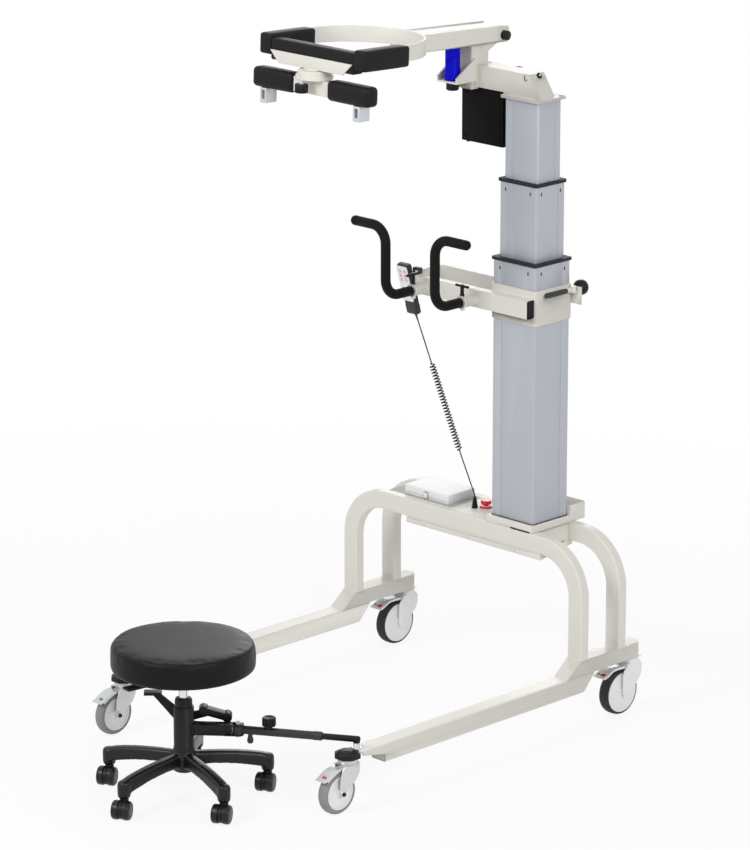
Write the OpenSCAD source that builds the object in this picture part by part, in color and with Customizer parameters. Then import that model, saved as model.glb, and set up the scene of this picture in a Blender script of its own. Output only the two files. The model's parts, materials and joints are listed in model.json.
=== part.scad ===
// Body weight support system for gait training: a wheeled frame with a lifting column,
// a sprung support yoke, an adjustable handlebar carriage and a tethered therapist stool.
// X runs across the frame, Y runs from the open front (low) to the back, Z is up.
// The origin is on the floor, midway between the rails.

/* [Side rails] */
// Distance between the centre lines of the side rails
rail_gauge = 850; // [820:5:900]
// Width of a rail tube
rail_w = 50; // [46:1:54]
// Height of the low rail tube
leg_h = 50; // [46:1:54]
// Height of the raised rail tube
raised_h = 42; // [38:1:46]
// Wall of the rail tubes
rail_wall = 3; // [2:0.5:4]
// Corner radius of the steel tubes
tube_r = 4; // [3.5:0.5:5]
// Clearance under the low rails
leg_z = 105; // [104:0.5:107]
// Length of the full section of the low rail, along its underside
leg_len = 755; // [700:5:800]
// Distance between the front and rear swivel axes
wheelbase = 1078; // [1060:2:1100]
// Thickness of the tab over the front caster
tab_t = 4; // [3:0.5:5]

/* [Arches] */
// Height of the top of the arches
arch_top = 512; // [480:2:540]
// Width of the arch tube across the bend plane
arch_w = 50; // [46:1:54]
// Depth of the arch tube along the rails
arch_d = 30; // [26:1:34]
// Bend radius at the tube's centre line
arch_bend = 125; // [110:5:140]
// Distance between the centre lines of the two arches
arch_pitch = 150; // [146:1:154]

/* [Deck] */
// Thickness of the folded deck sheet
sheet_t = 3; // [2:0.5:4]
// Height of the battery box
box_h = 26; // [20:1:32]
// Length of the battery box across the frame
box_l = 168; // [150:1:180]
// Depth of the battery box
box_d = 110; // [100:1:114]
// Diameter of the emergency stop
estop_d = 29.5; // [24:0.5:36]

/* [Column] */
// Width of the outer column tube across the frame
col_w = 154; // [150:1:158]
// Depth of the outer column tube
col_d = 138; // [134:1:142]
// Wall of the column tubes
col_wall = 4; // [3:0.5:5]
// Length of the outer column tube
col_outer_l = 711; // [690:1:730]
// Length of the middle column tube
col_mid_l = 696; // [680:1:710]
// Length of the inner column tube
col_inner_l = 700; // [680:1:720]
// Length of middle tube that shows with the column as drawn
col_mid_show = 205; // [190:1:220]
// Length of inner tube that shows with the column as drawn
col_inner_show = 216; // [200:1:230]
// Step in width from one column tube to the next
col_step_w = 20; // [17:1:24]
// Step in depth from one column tube to the next
col_step_d = 26; // [17:1:28]
// Height of a wiper frame
wiper_h = 8; // [6:1:10]
// Diameter of the lift spindle's cover tube
spindle_d = 30; // [24:1:34]

/* [Top beam] */
// Height of the top beam tube
beam_h = 60; // [56:1:64]
// Depth of the top beam tube
beam_d = 54; // [50:1:58]
// Width of the post that stands on the beam's end
post_w = 64; // [60:1:68]
// Depth of the post
post_d = 66; // [62:1:70]
// Diameter of the spring element
spring_d = 40; // [36:1:42]
// Height of the drive box
drive_h = 147; // [130:1:160]

/* [Yoke] */
// Slope of the yoke arm, in degrees
yoke_tilt = 2.4; // [1.5:0.1:3]
// Distance from the pivot to the centre of the bow
yoke_reach = 501; // [480:1:520]
// Radius of the bow at the middle of its bar
bow_r = 172; // [160:1:180]
// Length of the bow's straight sides
bow_side = 167; // [166:1:180]
// Thickness of the bow's flat bar
bow_t = 7; // [6:0.5:8]
// Height of the bow's flat bar
bow_h = 43; // [40:1:46]
// Width over the arm's side plates
arm_w = 96; // [92:1:102]
// Thickness of the arm's plates
arm_t = 5; // [4:0.5:6]
// Diameter of the arm's pivot pin
pivot_d = 12; // [10:1:14]
// Width of the pads on the bow
pad_w = 42; // [36:1:46]
// Diameter of the swivel disc
swivel_d = 98; // [90:1:110]
// Length of the spreader bar over its pads
spreader_l = 424; // [410:1:440]
// Distance between the strap blocks
strap_pitch = 341; // [330:1:350]

/* [Handlebar carriage] */
// Height of the collar on the column
collar_h = 96; // [86:1:106]
// Drop from the outer tube's top to the collar's underside
collar_drop = 160; // [153:1:168]
// Wall of the collar
collar_t = 4; // [3.5:0.5:5]
// Height of the cross rail
cross_h = 50; // [46:1:54]
// Depth of the cross rail
cross_d = 28; // [26:1:30]
// Distance between the handlebar sockets
socket_pitch = 183; // [176:1:190]
// Diameter of a handlebar over its grip
grip_d = 27; // [25:0.5:29]
// Diameter of the steel handlebar
bar_d = 22; // [20:0.5:23]
// Centre-line radius of the handlebar's bends
bar_bend = 48; // [44:1:52]
// Rise of a handlebar over its socket
bar_rise = 192.5; // [180:0.5:205]

/* [Stool] */
// Diameter of the seat cushion
seat_d = 368; // [340:2:380]
// Thickness of the seat cushion
seat_t = 66; // [56:1:76]
// Height of the seat's top
seat_z = 410; // [405:1:440]
// Radius from the column to a caster stem
star_r = 218; // [210:1:230]
// Diameter of the stool's column tube
stool_col_d = 53; // [50:1:58]
// Diameter of the gas spring's piston
piston_d = 24; // [20:1:28]
// Diameter of a stool caster's wheels
stool_wheel_d = 50; // [46:1:52]
// Diameter of the telescopic arm's tube
arm_tube_d = 22; // [20:1:24]
// Diameter of the telescopic arm's rod
arm_rod_d = 17; // [14:0.5:17.5]

/* [Casters] */
// Diameter of the rear wheels
rear_wheel_d = 125; // [121:1:129]
// Width of the rear wheels
rear_wheel_w = 32; // [28:1:36]
// Diameter of the front wheels
front_wheel_d = 114; // [110:1:117]
// Width of the front wheels
front_wheel_w = 30; // [26:1:34]
// Trail of the rear casters
rear_trail = 43.5; // [40:0.5:47]
// Trail of the front casters
front_trail = 40; // [37:0.5:43]
// Diameter of a wheel axle
axle_d = 10; // [8:0.5:12]

/* [Clearances] */
// Radial running clearance of pins, axles and stems
run_fit = 0.05; // [0.02:0.01:0.09]
// Gap between pieces that slide or turn past each other
slip_gap = 0.4; // [0.3:0.05:0.5]

/* [Hidden] */
$fn = 64;
CREAM = [0.84, 0.82, 0.78];
STEEL = [0.70, 0.72, 0.75];
ALU = [0.66, 0.68, 0.71];
BLACK = [0.12, 0.12, 0.13];
GREY = [0.35, 0.36, 0.37];
WHITE = [0.92, 0.92, 0.92];

// Side rails
rail_x = rail_gauge / 2;
front_y = -300;
rear_y = front_y + wheelbase;
leg_top = leg_z + leg_h;
raised_top = leg_top + raised_h;
nose_y = front_y + 112;
nose_z = leg_z + 22;
nose_taper = 81;
cap_d = 66;
cap_drop = 10;
cap_h = 17;
stem_rear_d = 16;
stem_front_d = 12;
stem_rise = 10;

// Arches
arch_setback = 207;
arch_front_y = rear_y - arch_setback;
arch_rear_y = arch_front_y + arch_pitch;
arch_front_face = arch_front_y - arch_d / 2;
arch_under = arch_top - arch_w;
rail_slope = 52;
leg_cut = leg_h * 0.9;

// Deck
deck_x0 = -300;
deck_y0 = arch_front_y + arch_d / 2;
deck_y1 = arch_rear_y - arch_d / 2;
deck_y = (deck_y0 + deck_y1) / 2;
tray_x0 = -208;
tray_x1 = 295;
tray_h = 18;
tray_inset = 3;
box_x = -166;
notch_w = 19;
notch_d = 6;
plate_t = 2;
plate_x0 = -55;
plate_x1 = 95;
gland_x = -7;
gland_y = 621;
gland_h = 33;
gland_d = 17;
cord_d = 3.5;
estop_x = 12;
estop_y = 646;
estop_h = 16;
estop_travel = 4;
estop_stem_d = 12;
estop_base_h = 6;

// Column
col_x = 180;
col_y = 638;
col_r = 7;
base_h = 20;
base_margin = 7;
tray_screw_x = 70;
tray_screw_pitch = 170;
col_z0 = arch_top + base_h;
col_outer_top = col_z0 + col_outer_l;
collar_z = col_outer_top - collar_drop;
wiper_out = 4;
mid_w = col_w - col_step_w;
mid_d = col_d - col_step_d;
mid_top = col_outer_top + wiper_h + col_mid_show;
mid_bottom = mid_top - col_mid_l;
inner_w = mid_w - col_step_w + 6;
inner_d = mid_d - col_step_d + 4;
inner_top = mid_top + wiper_h + col_inner_show;
inner_bottom = inner_top - col_inner_l;
guide_h = 60;
groove_w = 5;
groove_d = 1;
wiper_socket_d = 4;
wiper_socket_depth = 1.5;
wiper_screw_drop = 20;
motor_h = 156;
motor_w = 80;
motor_d = 66;

// Top beam
head_t = 8;
head_w = mid_w;
head_d = inner_d + 18;
beam_z = inner_top + head_t;
yoke_x = -30;
post_x1 = yoke_x + post_w / 2;
post_y = 622;
post_z0 = beam_z - 4;
beam_x1 = col_x + 52;
beam_mitre = 40;
pivot_y = 696;
pivot_z = beam_z + 131;
post_top = pivot_z + 3;
ear_t = 8;
ear_r = 15;
gusset_t = 5;
gusset_reach = 62;
spring_y = 549;
seat_plate_z = beam_z + 18;
seat_plate_t = 5;
spring_z0 = seat_plate_z + seat_plate_t;
spring_knob_d = 34;
spring_knob_h = 21;
spring_stem_d = 12;
drive_x0 = post_x1 - 56;
drive_x1 = col_x - inner_w / 2 - 24;
bolt_d = 8;
knob_x = 89;
knob_r = 23;
knob_t = 20;
knob_stem_d = 12;

// Yoke, drawn level and then turned about its pivot
bow_y = pivot_y - yoke_reach;
bow_front = bow_y - bow_side;
bow_z = pivot_z + 16.5;
arm_z0 = pivot_z - 18.5;
arm_z1 = pivot_z + 24;
arm_rise = 7;
web_drop = 3;
arm_tail = 19;
pad_h = 54;
pad_len = 166;
pad_y0 = 24;
cross_pad_y0 = 26;
cross_pad_y1 = 62;
cross_pad_z0 = pivot_z - 27;
cross_pad_h = 56;
face_plate_t = 5;
disc_y = 38;
disc_z = cross_pad_z0 - 7;
disc_t = 24;
disc_step = 5;
spreader_y = 40;
spreader_h = 40;
spreader_d = 30;
spreader_top = disc_z - disc_t;
spad_gap = 124;
spad_h = 52;
spad_d = 44;
strap_w = 22;
strap_d = 40;
strap_h = 40;
strap_slot_w = 12;
strap_slot_h = 24;
swivel_knob_y = -8;
swivel_knob_d = 35;
swivel_knob_h = 24;
swivel_stem_d = 8;

// Handlebar carriage
collar_in_w = col_w + 2 * slip_gap;
collar_in_d = col_d + 2 * slip_gap;
collar_out_w = collar_in_w + 2 * collar_t;
collar_out_d = collar_in_d + 2 * collar_t;
collar_y0 = col_y - collar_out_d / 2;
collar_x1 = col_x + collar_out_w / 2;
cross_z = collar_z + 50;
cross_y1 = collar_y0;
cross_y0 = cross_y1 - cross_d;
cross_x0 = -148;
cross_x1 = 258;
bracket_t = 7;
bracket_top = collar_z + 89;
bracket_z0 = collar_z + 25;
bracket_y = col_y + 2;
flange_x0 = -155;
socket_z = cross_z - 3.5;
socket_l = 49;
socket_y0 = cross_y0 - socket_l;
socket_d = 33;
bar_top_z = socket_z + bar_rise;
bar_y = socket_y0 - 98;
bar_reach = 125;
screw_d = 10;
screw_y = cross_y0 - 42;
screw_h = 29;
screw_bar_l = 48;
screw_bar_d = 7;
clamp_plate_t = 4;
clamp_plate_w = 30;
clamp_plate_h = 48;
clamp_z = collar_z + 82;
clamp_x = collar_x1 + 10;
clamp_y = col_y + collar_out_d / 2;
clamp_grip_d = 16;
clamp_grip_l = 108;
clamp_barrel_d = 18;
clamp_pivot_y = clamp_y - slip_gap - clamp_barrel_d / 2;
clamp_knob_d = 42;
clamp_knob_l = 32;

// Handset and cord
handset_tilt = 16;
handset_w = 42;
handset_t = 20;
handset_l = 150;
key_gap = 0.6;
handset_foot = [-176, 556, 1046];
hook_y = 540;
cord_relief = [-176, 559, 1047];
cord_top = [-168, 562, 1024];
curl_a = [-132, 575, 916];
curl_b = [-48, 606, 664];
cord_foot = [gland_x, gland_y, arch_top + plate_t + gland_h];
curl_d = 18.5;
curl_turns = 30;
curl_rings = 8;
curl_sides = 6;
lead_sides = 8;
lead_rings = 14;
lead_bend = [-11, 619, 562];

// Stool
stool_x = 50;
stool_y = -521;
star_a0 = 56.5;
star_n = 5;
star_hub_z = 121;
star_arm_w = 34;
stool_col_top = 242;
stool_collar_d = 46;
stool_collar_h = 23;
stool_trail = 20;
stool_trail_a = -61;
stool_stem_d = 10;
stool_tip_z = 62;
seat_plate_w = 160;
seat_z0 = seat_z - seat_t;
hinge_x = 157;
hinge_y = -430;
arm_z = 182;
sq_w = 30;
tab_bolt_x = rail_x;
tab_bolt_y = front_y + 32;
rod_z = arm_z;
clevis_t = 3.5;
hinge_d = 10;
arm_knob_d = 36;
arm_knob_at = 82;
arm_eye_h = sq_w - 2 * clevis_t - 2 * slip_gap;
rod_eye_h = arm_rod_d + 1;
arm_rod_from = 58;
arm_tube_l = 223;
arm_len = norm([tab_bolt_x - hinge_x, tab_bolt_y - hinge_y]);
arm_angle = atan2(tab_bolt_y - hinge_y, tab_bolt_x - hinge_x);
sq_len = norm([hinge_x - stool_x, hinge_y - stool_y]);
sq_angle = atan2(hinge_y - stool_y, hinge_x - stool_x);
lever_z = 200;
plate_under = 6;
plate_hub = 30;
lever_play = 0.9;
seat_lever_a = 262;

// Parts common to all casters
wheel_side = 3;
pedal_back = 30;
pedal_pin_d = 5;

// Rounded rectangle about the origin
module rrect(w, h, r) {
    square([w - 2 * r, h], center = true);
    square([w, h - 2 * r], center = true);
    for (sx = [-1, 1], sy = [-1, 1])
        translate([sx * (w / 2 - r), sy * (h / 2 - r)]) circle(r, $fn = 24);
}

// Section of a rectangular tube with round corners
module tube_section(w, h, wall, r) {
    difference() {
        rrect(w, h, r);
        rrect(w - 2 * wall, h - 2 * wall, max(r - wall, 0.6));
    }
}

// Extrusions along each axis: the 2D shape is in X-Z, Y-Z or X-Y
module prism_y(y0, y1) {
    translate([0, y1, 0]) rotate([90, 0, 0]) linear_extrude(y1 - y0) children();
}

module prism_x(x0, x1) {
    translate([x0, 0, 0]) rotate([90, 0, 90]) linear_extrude(x1 - x0) children();
}

module prism_z(z0, z1) {
    translate([0, 0, z0]) linear_extrude(z1 - z0) children();
}

// Round bar from a to b along one axis or any line
module rod_between(a, b, d) {
    v = b - a;
    l = norm(v);
    translate(a)
        rotate([0, acos(v[2] / l), atan2(v[1], v[0])])
            cylinder(h = l, d = d);
}

// Quarter bend of a tube, in the X-Z plane, from +X round to +Z
module bend_quarter(r) {
    rotate([90, 0, 0]) rotate_extrude(angle = 90) translate([r, 0]) children();
}

// Knob with finger flats round its rim, standing on z = 0
module fluted_knob(d, h, lobes = 10) {
    difference() {
        union() {
            cylinder(h = h - d * 0.08, d = d);
            translate([0, 0, h - d * 0.08]) cylinder(h = d * 0.08, d = d * 0.84);
        }
        for (i = [0:lobes - 1])
            rotate(i * 360 / lobes) translate([d * 0.54, 0, -1]) cylinder(h = h + 2, d = d * 0.14,
                    $fn = 16);
    }
}

// One side rail about x = 0: leg, raised rail and the cover of the front stem
module side_rail() {
    color(CREAM) difference() {
        union() {
            leg_tube();
            raised_tube();
        }
        translate([0, rear_y, leg_top - 1])
            cylinder(h = rail_wall + 1.5, d = stem_rear_d + 2 * run_fit);
        translate([0, front_y, leg_top - tab_t - 1])
            cylinder(h = tab_t + 2, d = stem_front_d + 2 * run_fit);
    }
    color(GREY) stem_cap();
}

// Low rail: its underside stops short of the caster and its top wall runs on as a tab
module leg_tube() {
    leg_back = nose_y + leg_len;
    difference() {
        prism_y(nose_y - nose_taper, leg_back + leg_cut)
            translate([0, leg_z + leg_h / 2]) tube_section(rail_w, leg_h, rail_wall, tube_r);
        prism_x(-rail_w, rail_w)
            polygon([[leg_back, leg_z - 1], [leg_back + leg_cut + 2, leg_z - 1],
                     [leg_back + leg_cut + 2, leg_top - 1], [leg_back + leg_cut, leg_top - 1],
                     [leg_back, leg_z]]);
        prism_x(-rail_w, rail_w)
            polygon([[nose_y - nose_taper - 1, leg_z - 1], [nose_y, leg_z - 1], [nose_y, nose_z],
                     [nose_y - nose_taper, nose_z + 16], [nose_y - nose_taper - 1, nose_z + 16]]);
    }
    prism_z(leg_top - tab_t, leg_top) {
        translate([-rail_w / 2 + tube_r / 2, front_y]) square([rail_w - tube_r, nose_y - front_y]);
        translate([0, front_y]) circle(d = rail_w - tube_r);
    }
}

// Raised rail: sloped front face, half-round back end, closed all round
module raised_tube() {
    difference() {
        raised_block(0);
        raised_block(rail_wall);
    }
}

module raised_block(inset) {
    x = rail_w / 2 - inset;
    intersection() {
        prism_z(leg_top + inset, raised_top - inset) {
            translate([-x, arch_front_face - rail_slope])
                square([2 * x, rear_y - arch_front_face + rail_slope]);
            translate([0, rear_y]) circle(r = x);
        }
        prism_x(-rail_w, rail_w)
            polygon([[arch_front_face - rail_slope + 1.6 * inset, leg_top], [rear_y + rail_w, leg_top],
                     [rear_y + rail_w, raised_top], [arch_front_face + 1.6 * inset, raised_top]]);
    }
}

// Eight-sided cover round the front stem, slotted for the tab
module stem_cap() {
    difference() {
        translate([0, front_y, leg_top - tab_t - cap_drop]) rotate(22.5) {
            cylinder(h = cap_h - 4, d = cap_d, $fn = 8);
            translate([0, 0, cap_h - 4]) cylinder(h = 4, d1 = cap_d, d2 = cap_d * 0.8, $fn = 8);
        }
        translate([0, front_y, 0]) prism_z(leg_top - tab_t - slip_gap / 2, leg_top + slip_gap / 2) {
            circle(d = rail_w - tube_r + slip_gap);
            translate([-rail_w / 2 - slip_gap / 2, 0]) square([rail_w + slip_gap, cap_d]);
        }
        translate([0, front_y, leg_z]) cylinder(h = leg_h - 1, d = stem_front_d + 2 * slip_gap);
    }
}

module side_rail_left() {
    translate([-rail_x, 0, 0]) side_rail();
}

module side_rail_right() {
    translate([rail_x, 0, 0]) side_rail();
    stool_pivot();
}

// Post and pin on the right tab that the stool's rod turns on
module stool_pivot() {
    color(GREY) translate([tab_bolt_x, tab_bolt_y, leg_top]) {
        cylinder(h = 5, d = 24);
        cylinder(h = rod_z - rod_eye_h / 2 - slip_gap - leg_top, d = 17);
        cylinder(h = rod_z + rod_eye_h / 2 - leg_top + 7, d = hinge_d);
        translate([0, 0, rod_z + rod_eye_h / 2 + slip_gap - leg_top]) cylinder(h = 6, d = 16, $fn = 6);
    }
}

// One arch of bent rectangular tube, centred on y = 0
module arch() {
    leg_c = rail_x;
    top_c = arch_top - arch_w / 2;
    for (s = [-1, 1]) {
        prism_z(raised_top, top_c - arch_bend) translate([s * leg_c, 0])
            tube_section(arch_w, arch_d, rail_wall, tube_r);
        translate([s * (leg_c - arch_bend), 0, top_c - arch_bend]) scale_x(s)
            bend_quarter(arch_bend) tube_section(arch_w, arch_d, rail_wall, tube_r);
    }
    prism_x(-leg_c + arch_bend, leg_c - arch_bend)
        translate([0, top_c]) tube_section(arch_d, arch_w, rail_wall, tube_r);
}

// Mirrors its child across X where s is negative
module scale_x(s) {
    if (s < 0) mirror([1, 0, 0]) children();
    else children();
}

module arch_frame() {
    color(CREAM) {
        translate([0, arch_front_y, 0]) arch();
        translate([0, arch_rear_y, 0]) arch();
        // cross plates that tie the arches together under the column
        for (x = [plate_x1, col_x + col_w / 2])
            translate([x, deck_y0, arch_under]) cube([rail_wall, deck_y1 - deck_y0, arch_w - sheet_t]);
    }
}

// Folded sheet between the arches, and the shallow tray under them
module deck_tray() {
    color(GREY) translate([deck_x0, deck_y0, arch_top - sheet_t])
        cube([col_x + col_w / 2 + base_margin - deck_x0, deck_y1 - deck_y0, sheet_t]);
    color(CREAM) {
        difference() {
            translate([tray_x0, arch_front_face + tray_inset, arch_under - tray_h])
                cube([tray_x1 - tray_x0, arch_pitch + arch_d - 2 * tray_inset, tray_h]);
            translate([tray_x0 + sheet_t, arch_front_face + tray_inset + sheet_t,
                    arch_under - tray_h + sheet_t])
                cube([tray_x1 - tray_x0 - 2 * sheet_t,
                      arch_pitch + arch_d - 2 * tray_inset - 2 * sheet_t, tray_h]);
        }
    }
    color(GREY) for (i = [0:2])
        translate([tray_x0 + tray_screw_x + i * tray_screw_pitch, arch_front_face + tray_inset,
                arch_under - tray_h / 2])
            rotate([90, 0, 0]) cylinder(h = 2, d = 6);
    control_plate();
}

// Control plate on the deck, with the stop's base and the cord's gland
module control_plate() {
    color(CREAM) translate([plate_x0, arch_front_face + 10, arch_top])
        cube([plate_x1 - plate_x0, arch_pitch - 10, plate_t]);
    color("gold") translate([estop_x, estop_y, arch_top + plate_t]) difference() {
        cylinder(h = estop_base_h, d = estop_d + 6);
        translate([0, 0, -1]) cylinder(h = estop_base_h + 2, d = estop_stem_d + 2 * slip_gap);
    }
    color(BLACK) translate([gland_x, gland_y, arch_top + plate_t]) {
        cylinder(h = 6, d = gland_d);
        translate([0, 0, 6]) cylinder(h = gland_h - 6, d1 = gland_d - 3, d2 = cord_d + 3);
    }
}

// Mushroom button of the emergency stop
module estop_button() {
    color("crimson") translate([estop_x, estop_y, arch_top + plate_t]) {
        translate([0, 0, estop_travel]) cylinder(h = estop_base_h + 1, d = estop_stem_d);
        translate([0, 0, estop_base_h + estop_travel + 0.5])
            cylinder(h = estop_h * 0.45, d1 = estop_d * 0.8, d2 = estop_d);
        translate([0, 0, estop_base_h + estop_travel + 0.5 + estop_h * 0.45])
            cylinder(h = estop_h * 0.3, d = estop_d);
    }
}

// Battery box with a clip notch in its front and back walls
module battery_box() {
    color(WHITE) translate([box_x, deck_y + 2, arch_top]) difference() {
        prism_z(0, box_h) rrect(box_l, box_d, 6);
        for (s = [-1, 1])
            translate([-notch_w / 2, s * box_d / 2 - notch_d / 2, -1]) cube([notch_w, notch_d,
                    box_h * 0.85]);
    }
}

// Cast foot of the column, and the taller housing behind it
module column_base() {
    x0 = col_x - col_w / 2 - base_margin;
    w = col_w + 2 * base_margin;
    color(CREAM) {
        difference() {
            translate([x0, arch_front_face, arch_top]) cube([w, arch_pitch + 6, base_h]);
            translate([col_x + motor_w / 2 - w / 2, arch_front_face - 1, arch_top - 1])
                cube([w / 2 - motor_w / 4, 4, 5]);
        }
        translate([x0, arch_front_face + arch_pitch + 6, arch_top]) cube([w, 58, base_h + 28]);
    }
}

// One column tube of given size with shallow grooves down its faces
module column_tube(w, d, z0, z1, r) {
    difference() {
        prism_z(z0, z1) difference() {
            rrect(w, d, r);
            rrect(w - 2 * col_wall, d - 2 * col_wall, max(r - col_wall, 1));
        }
        for (s = [-1, 1]) {
            translate([-w * 0.27 - groove_w / 2, s * d / 2 - groove_d, z0 - 1])
                cube([groove_w, 2 * groove_d, z1 - z0 + 2]);
            translate([s * w / 2 - groove_d, d * 0.24 - groove_w / 2, z0 - 1])
                cube([2 * groove_d, groove_w, z1 - z0 + 2]);
        }
    }
}

// Frame round a column tube's mouth that wipes the tube inside it
module wiper(w, d, inner_w, inner_d, z, r) {
    prism_z(z, z + wiper_h) difference() {
        rrect(w + 2 * wiper_out, d + 2 * wiper_out, r);
        square([inner_w + 2 * slip_gap, inner_d + 2 * slip_gap], center = true);
    }
}

// Pads round a tube's foot that run in the tube outside it
module guide_pads(w, d, out_w, out_d, z) {
    in_w = out_w - 2 * col_wall - 2 * slip_gap;
    in_d = out_d - 2 * col_wall - 2 * slip_gap;
    prism_z(z, z + guide_h) for (s = [-1, 1]) {
        translate([s * (w / 2 + in_w / 2) / 2, 0]) square([in_w / 2 - w / 2, d * 0.6], center = true);
        translate([0, s * (d / 2 + in_d / 2) / 2]) square([w * 0.4, in_d / 2 - d / 2], center = true);
    }
}

module column_outer() {
    translate([col_x, col_y, 0]) {
        color(STEEL) difference() {
            column_tube(col_w, col_d, col_z0, col_outer_top, col_r);
            for (s = [-1, 1], k = [-1, 1]) translate([0, 0, col_outer_top - wiper_screw_drop]) {
                translate([k * col_w * 0.33, s * col_d / 2, 0]) rotate([90, 0, 0])
                    cylinder(h = 2 * wiper_socket_depth, d = wiper_socket_d, center = true, $fn = 6);
                translate([s * col_w / 2, k * col_d * 0.33, 0]) rotate([0, 90, 0])
                    cylinder(h = 2 * wiper_socket_depth, d = wiper_socket_d, center = true, $fn = 6);
            }
        }
        color(BLACK) wiper(col_w, col_d, mid_w, mid_d, col_outer_top, col_r);
    }
}

module column_middle() {
    translate([col_x, col_y, 0]) {
        color(STEEL) column_tube(mid_w, mid_d, mid_bottom, mid_top, col_r);
        color(BLACK) wiper(mid_w, mid_d, inner_w, inner_d, mid_top, col_r);
        color(GREY) guide_pads(mid_w - 0.02, mid_d - 0.02, col_w, col_d, mid_bottom);
    }
}

module column_inner() {
    translate([col_x, col_y, 0]) {
        color(STEEL) column_tube(inner_w, inner_d, inner_bottom, inner_top, col_r - 1);
        color(GREY) guide_pads(inner_w - 0.02, inner_d - 0.02, mid_w, mid_d, inner_bottom);
    }
}

// Motor, gearbox and spindle cover inside the column
module lift_drive() {
    translate([col_x, col_y, col_z0]) {
        color(GREY) translate([-motor_w / 2, -motor_d / 2, 0]) cube([motor_w, motor_d, motor_h * 0.6]);
        color("dimgray") translate([0, 0, motor_h * 0.6]) cylinder(h = motor_h * 0.4, d = motor_d - 8);
        color("silver") translate([0, 0, motor_h]) cylinder(h = col_outer_l - motor_h - 20, d = spindle_d);
    }
}

// Beam with head plate, post, ears, gussets and the spring's seat
module top_beam() {
    color(CREAM) {
        difference() {
            translate([col_x - head_w / 2, col_y - head_d / 2, inner_top]) cube([head_w, head_d, head_t]);
            for (sx = [-1, 1], sy = [-1, 1])
                translate([col_x + sx * (head_w / 2 - 9), col_y + sy * (head_d / 2 - 9), inner_top - 1])
                    cylinder(h = head_t + 2, d = bolt_d, $fn = 24);
        }
        translate([col_x - head_w / 2 + 5, col_y - beam_d / 2 + 1, beam_z - 1])
            cube([head_w - 20, beam_d - 2, 2]);
        difference() {
            beam_block(0);
            beam_block(rail_wall);
            translate([knob_x, col_y + beam_d / 2 - rail_wall - 1, beam_z + beam_h / 2])
                rotate([-90, 0, 0]) cylinder(h = rail_wall + 2, d = knob_stem_d + 2 * run_fit);
        }
        post();
    }
    color("silver") for (sx = [-1, 1], sy = [-1, 1])
        translate([col_x + sx * (head_w / 2 - 9), col_y + sy * (head_d / 2 - 9), inner_top]) {
            cylinder(h = head_t, d = bolt_d, $fn = 24);
            translate([0, 0, head_t - 1]) cylinder(h = 5, d = 13, $fn = 6);
        }
    color(BLACK) translate([beam_x1 - beam_mitre - 14, col_y - beam_d / 2 - 3, beam_z + beam_h - 12])
        rotate([-90, 0, 0]) cylinder(h = 4, d = 16);
}

module beam_block(inset) {
    slope = beam_mitre / beam_h;
    prism_y(col_y - beam_d / 2 + inset, col_y + beam_d / 2 - inset)
        polygon([[post_x1, beam_z + inset], [beam_x1 - inset * (1 + slope), beam_z + inset],
                 [beam_x1 - beam_mitre - inset * (1 + 0.4 * slope), beam_z + beam_h - inset],
                 [post_x1, beam_z + beam_h - inset]]);
}

// Upright square tube with two ears behind, two gussets and a seat plate in front
module post() {
    y0 = post_y - post_d / 2;
    y1 = post_y + post_d / 2;
    prism_z(post_z0, post_top) translate([yoke_x, post_y]) tube_section(post_w, post_d, 5, tube_r);
    for (s = [-1, 1]) {
        x = yoke_x + s * (post_w - ear_t) / 2;
        difference() {
            prism_x(x - ear_t / 2, x + ear_t / 2) {
                translate([y1 - tube_r, post_top - 42]) square([pivot_y - y1 + tube_r, 39]);
                translate([pivot_y, pivot_z]) circle(r = ear_r);
            }
            translate([x - ear_t, pivot_y, pivot_z]) rotate([0, 90, 0])
                cylinder(h = 2 * ear_t, d = pivot_d + 2 * run_fit);
        }
        gx = yoke_x + s * (post_w + gusset_t) / 2;
        prism_x(gx - gusset_t / 2, gx + gusset_t / 2)
            polygon([[y0 - gusset_reach, seat_plate_z], [y0 + 8, seat_plate_z],
                     [y0 + 8, beam_z + beam_h + 20],
                     [y0, beam_z + beam_h + 14], [y0 - gusset_reach, seat_plate_z + 16]]);
    }
    difference() {
        translate([yoke_x - post_w / 2 - 0.01, y0 - gusset_reach, seat_plate_z])
            cube([post_w + 0.02, gusset_reach + 2, seat_plate_t]);
        translate([yoke_x, spring_y, seat_plate_z - 1])
            cylinder(h = seat_plate_t + 2, d = spring_stem_d + 2 * run_fit);
    }
}

// Round lock knob behind the beam
module beam_knob() {
    color(GREY) translate([knob_x, col_y + beam_d / 2, beam_z + beam_h / 2]) rotate([-90, 0, 0]) {
        translate([0, 0, slip_gap]) fluted_knob(2 * knob_r, knob_t, 12);
        translate([0, 0, -rail_wall - 8]) cylinder(h = rail_wall + 9, d = knob_stem_d);
    }
}

// Control and force sensor box hung under the beam
module drive_box() {
    color(BLACK) {
        translate([drive_x0, col_y - beam_d / 2, post_z0 - drive_h])
            cube([drive_x1 - drive_x0, beam_d, drive_h]);
        translate([post_x1 + 2, col_y - beam_d / 2 + 5, post_z0 - 1])
            cube([drive_x1 - post_x1 - 2, beam_d - 10, beam_z - post_z0 + 1]);
    }
    color(GREY) {
        translate([drive_x0, col_y - beam_d / 4, post_z0 - drive_h + 12]) rotate([0, -90, 0])
                cylinder(h = 5, d = 11);
        translate([drive_x0 + 12, col_y - beam_d / 4, post_z0 - drive_h - 5]) cylinder(h = 5, d = 11);
    }
}

// Blue spring element between the seat plate and the arm
module yoke_spring() {
    top = web_z(spring_y + spring_d / 2) - slip_gap;
    color("mediumblue") translate([yoke_x, spring_y, spring_z0]) {
        cylinder(h = 30, d = spring_d + 2);
        cylinder(h = top - spring_z0, d = spring_d);
    }
}

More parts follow.
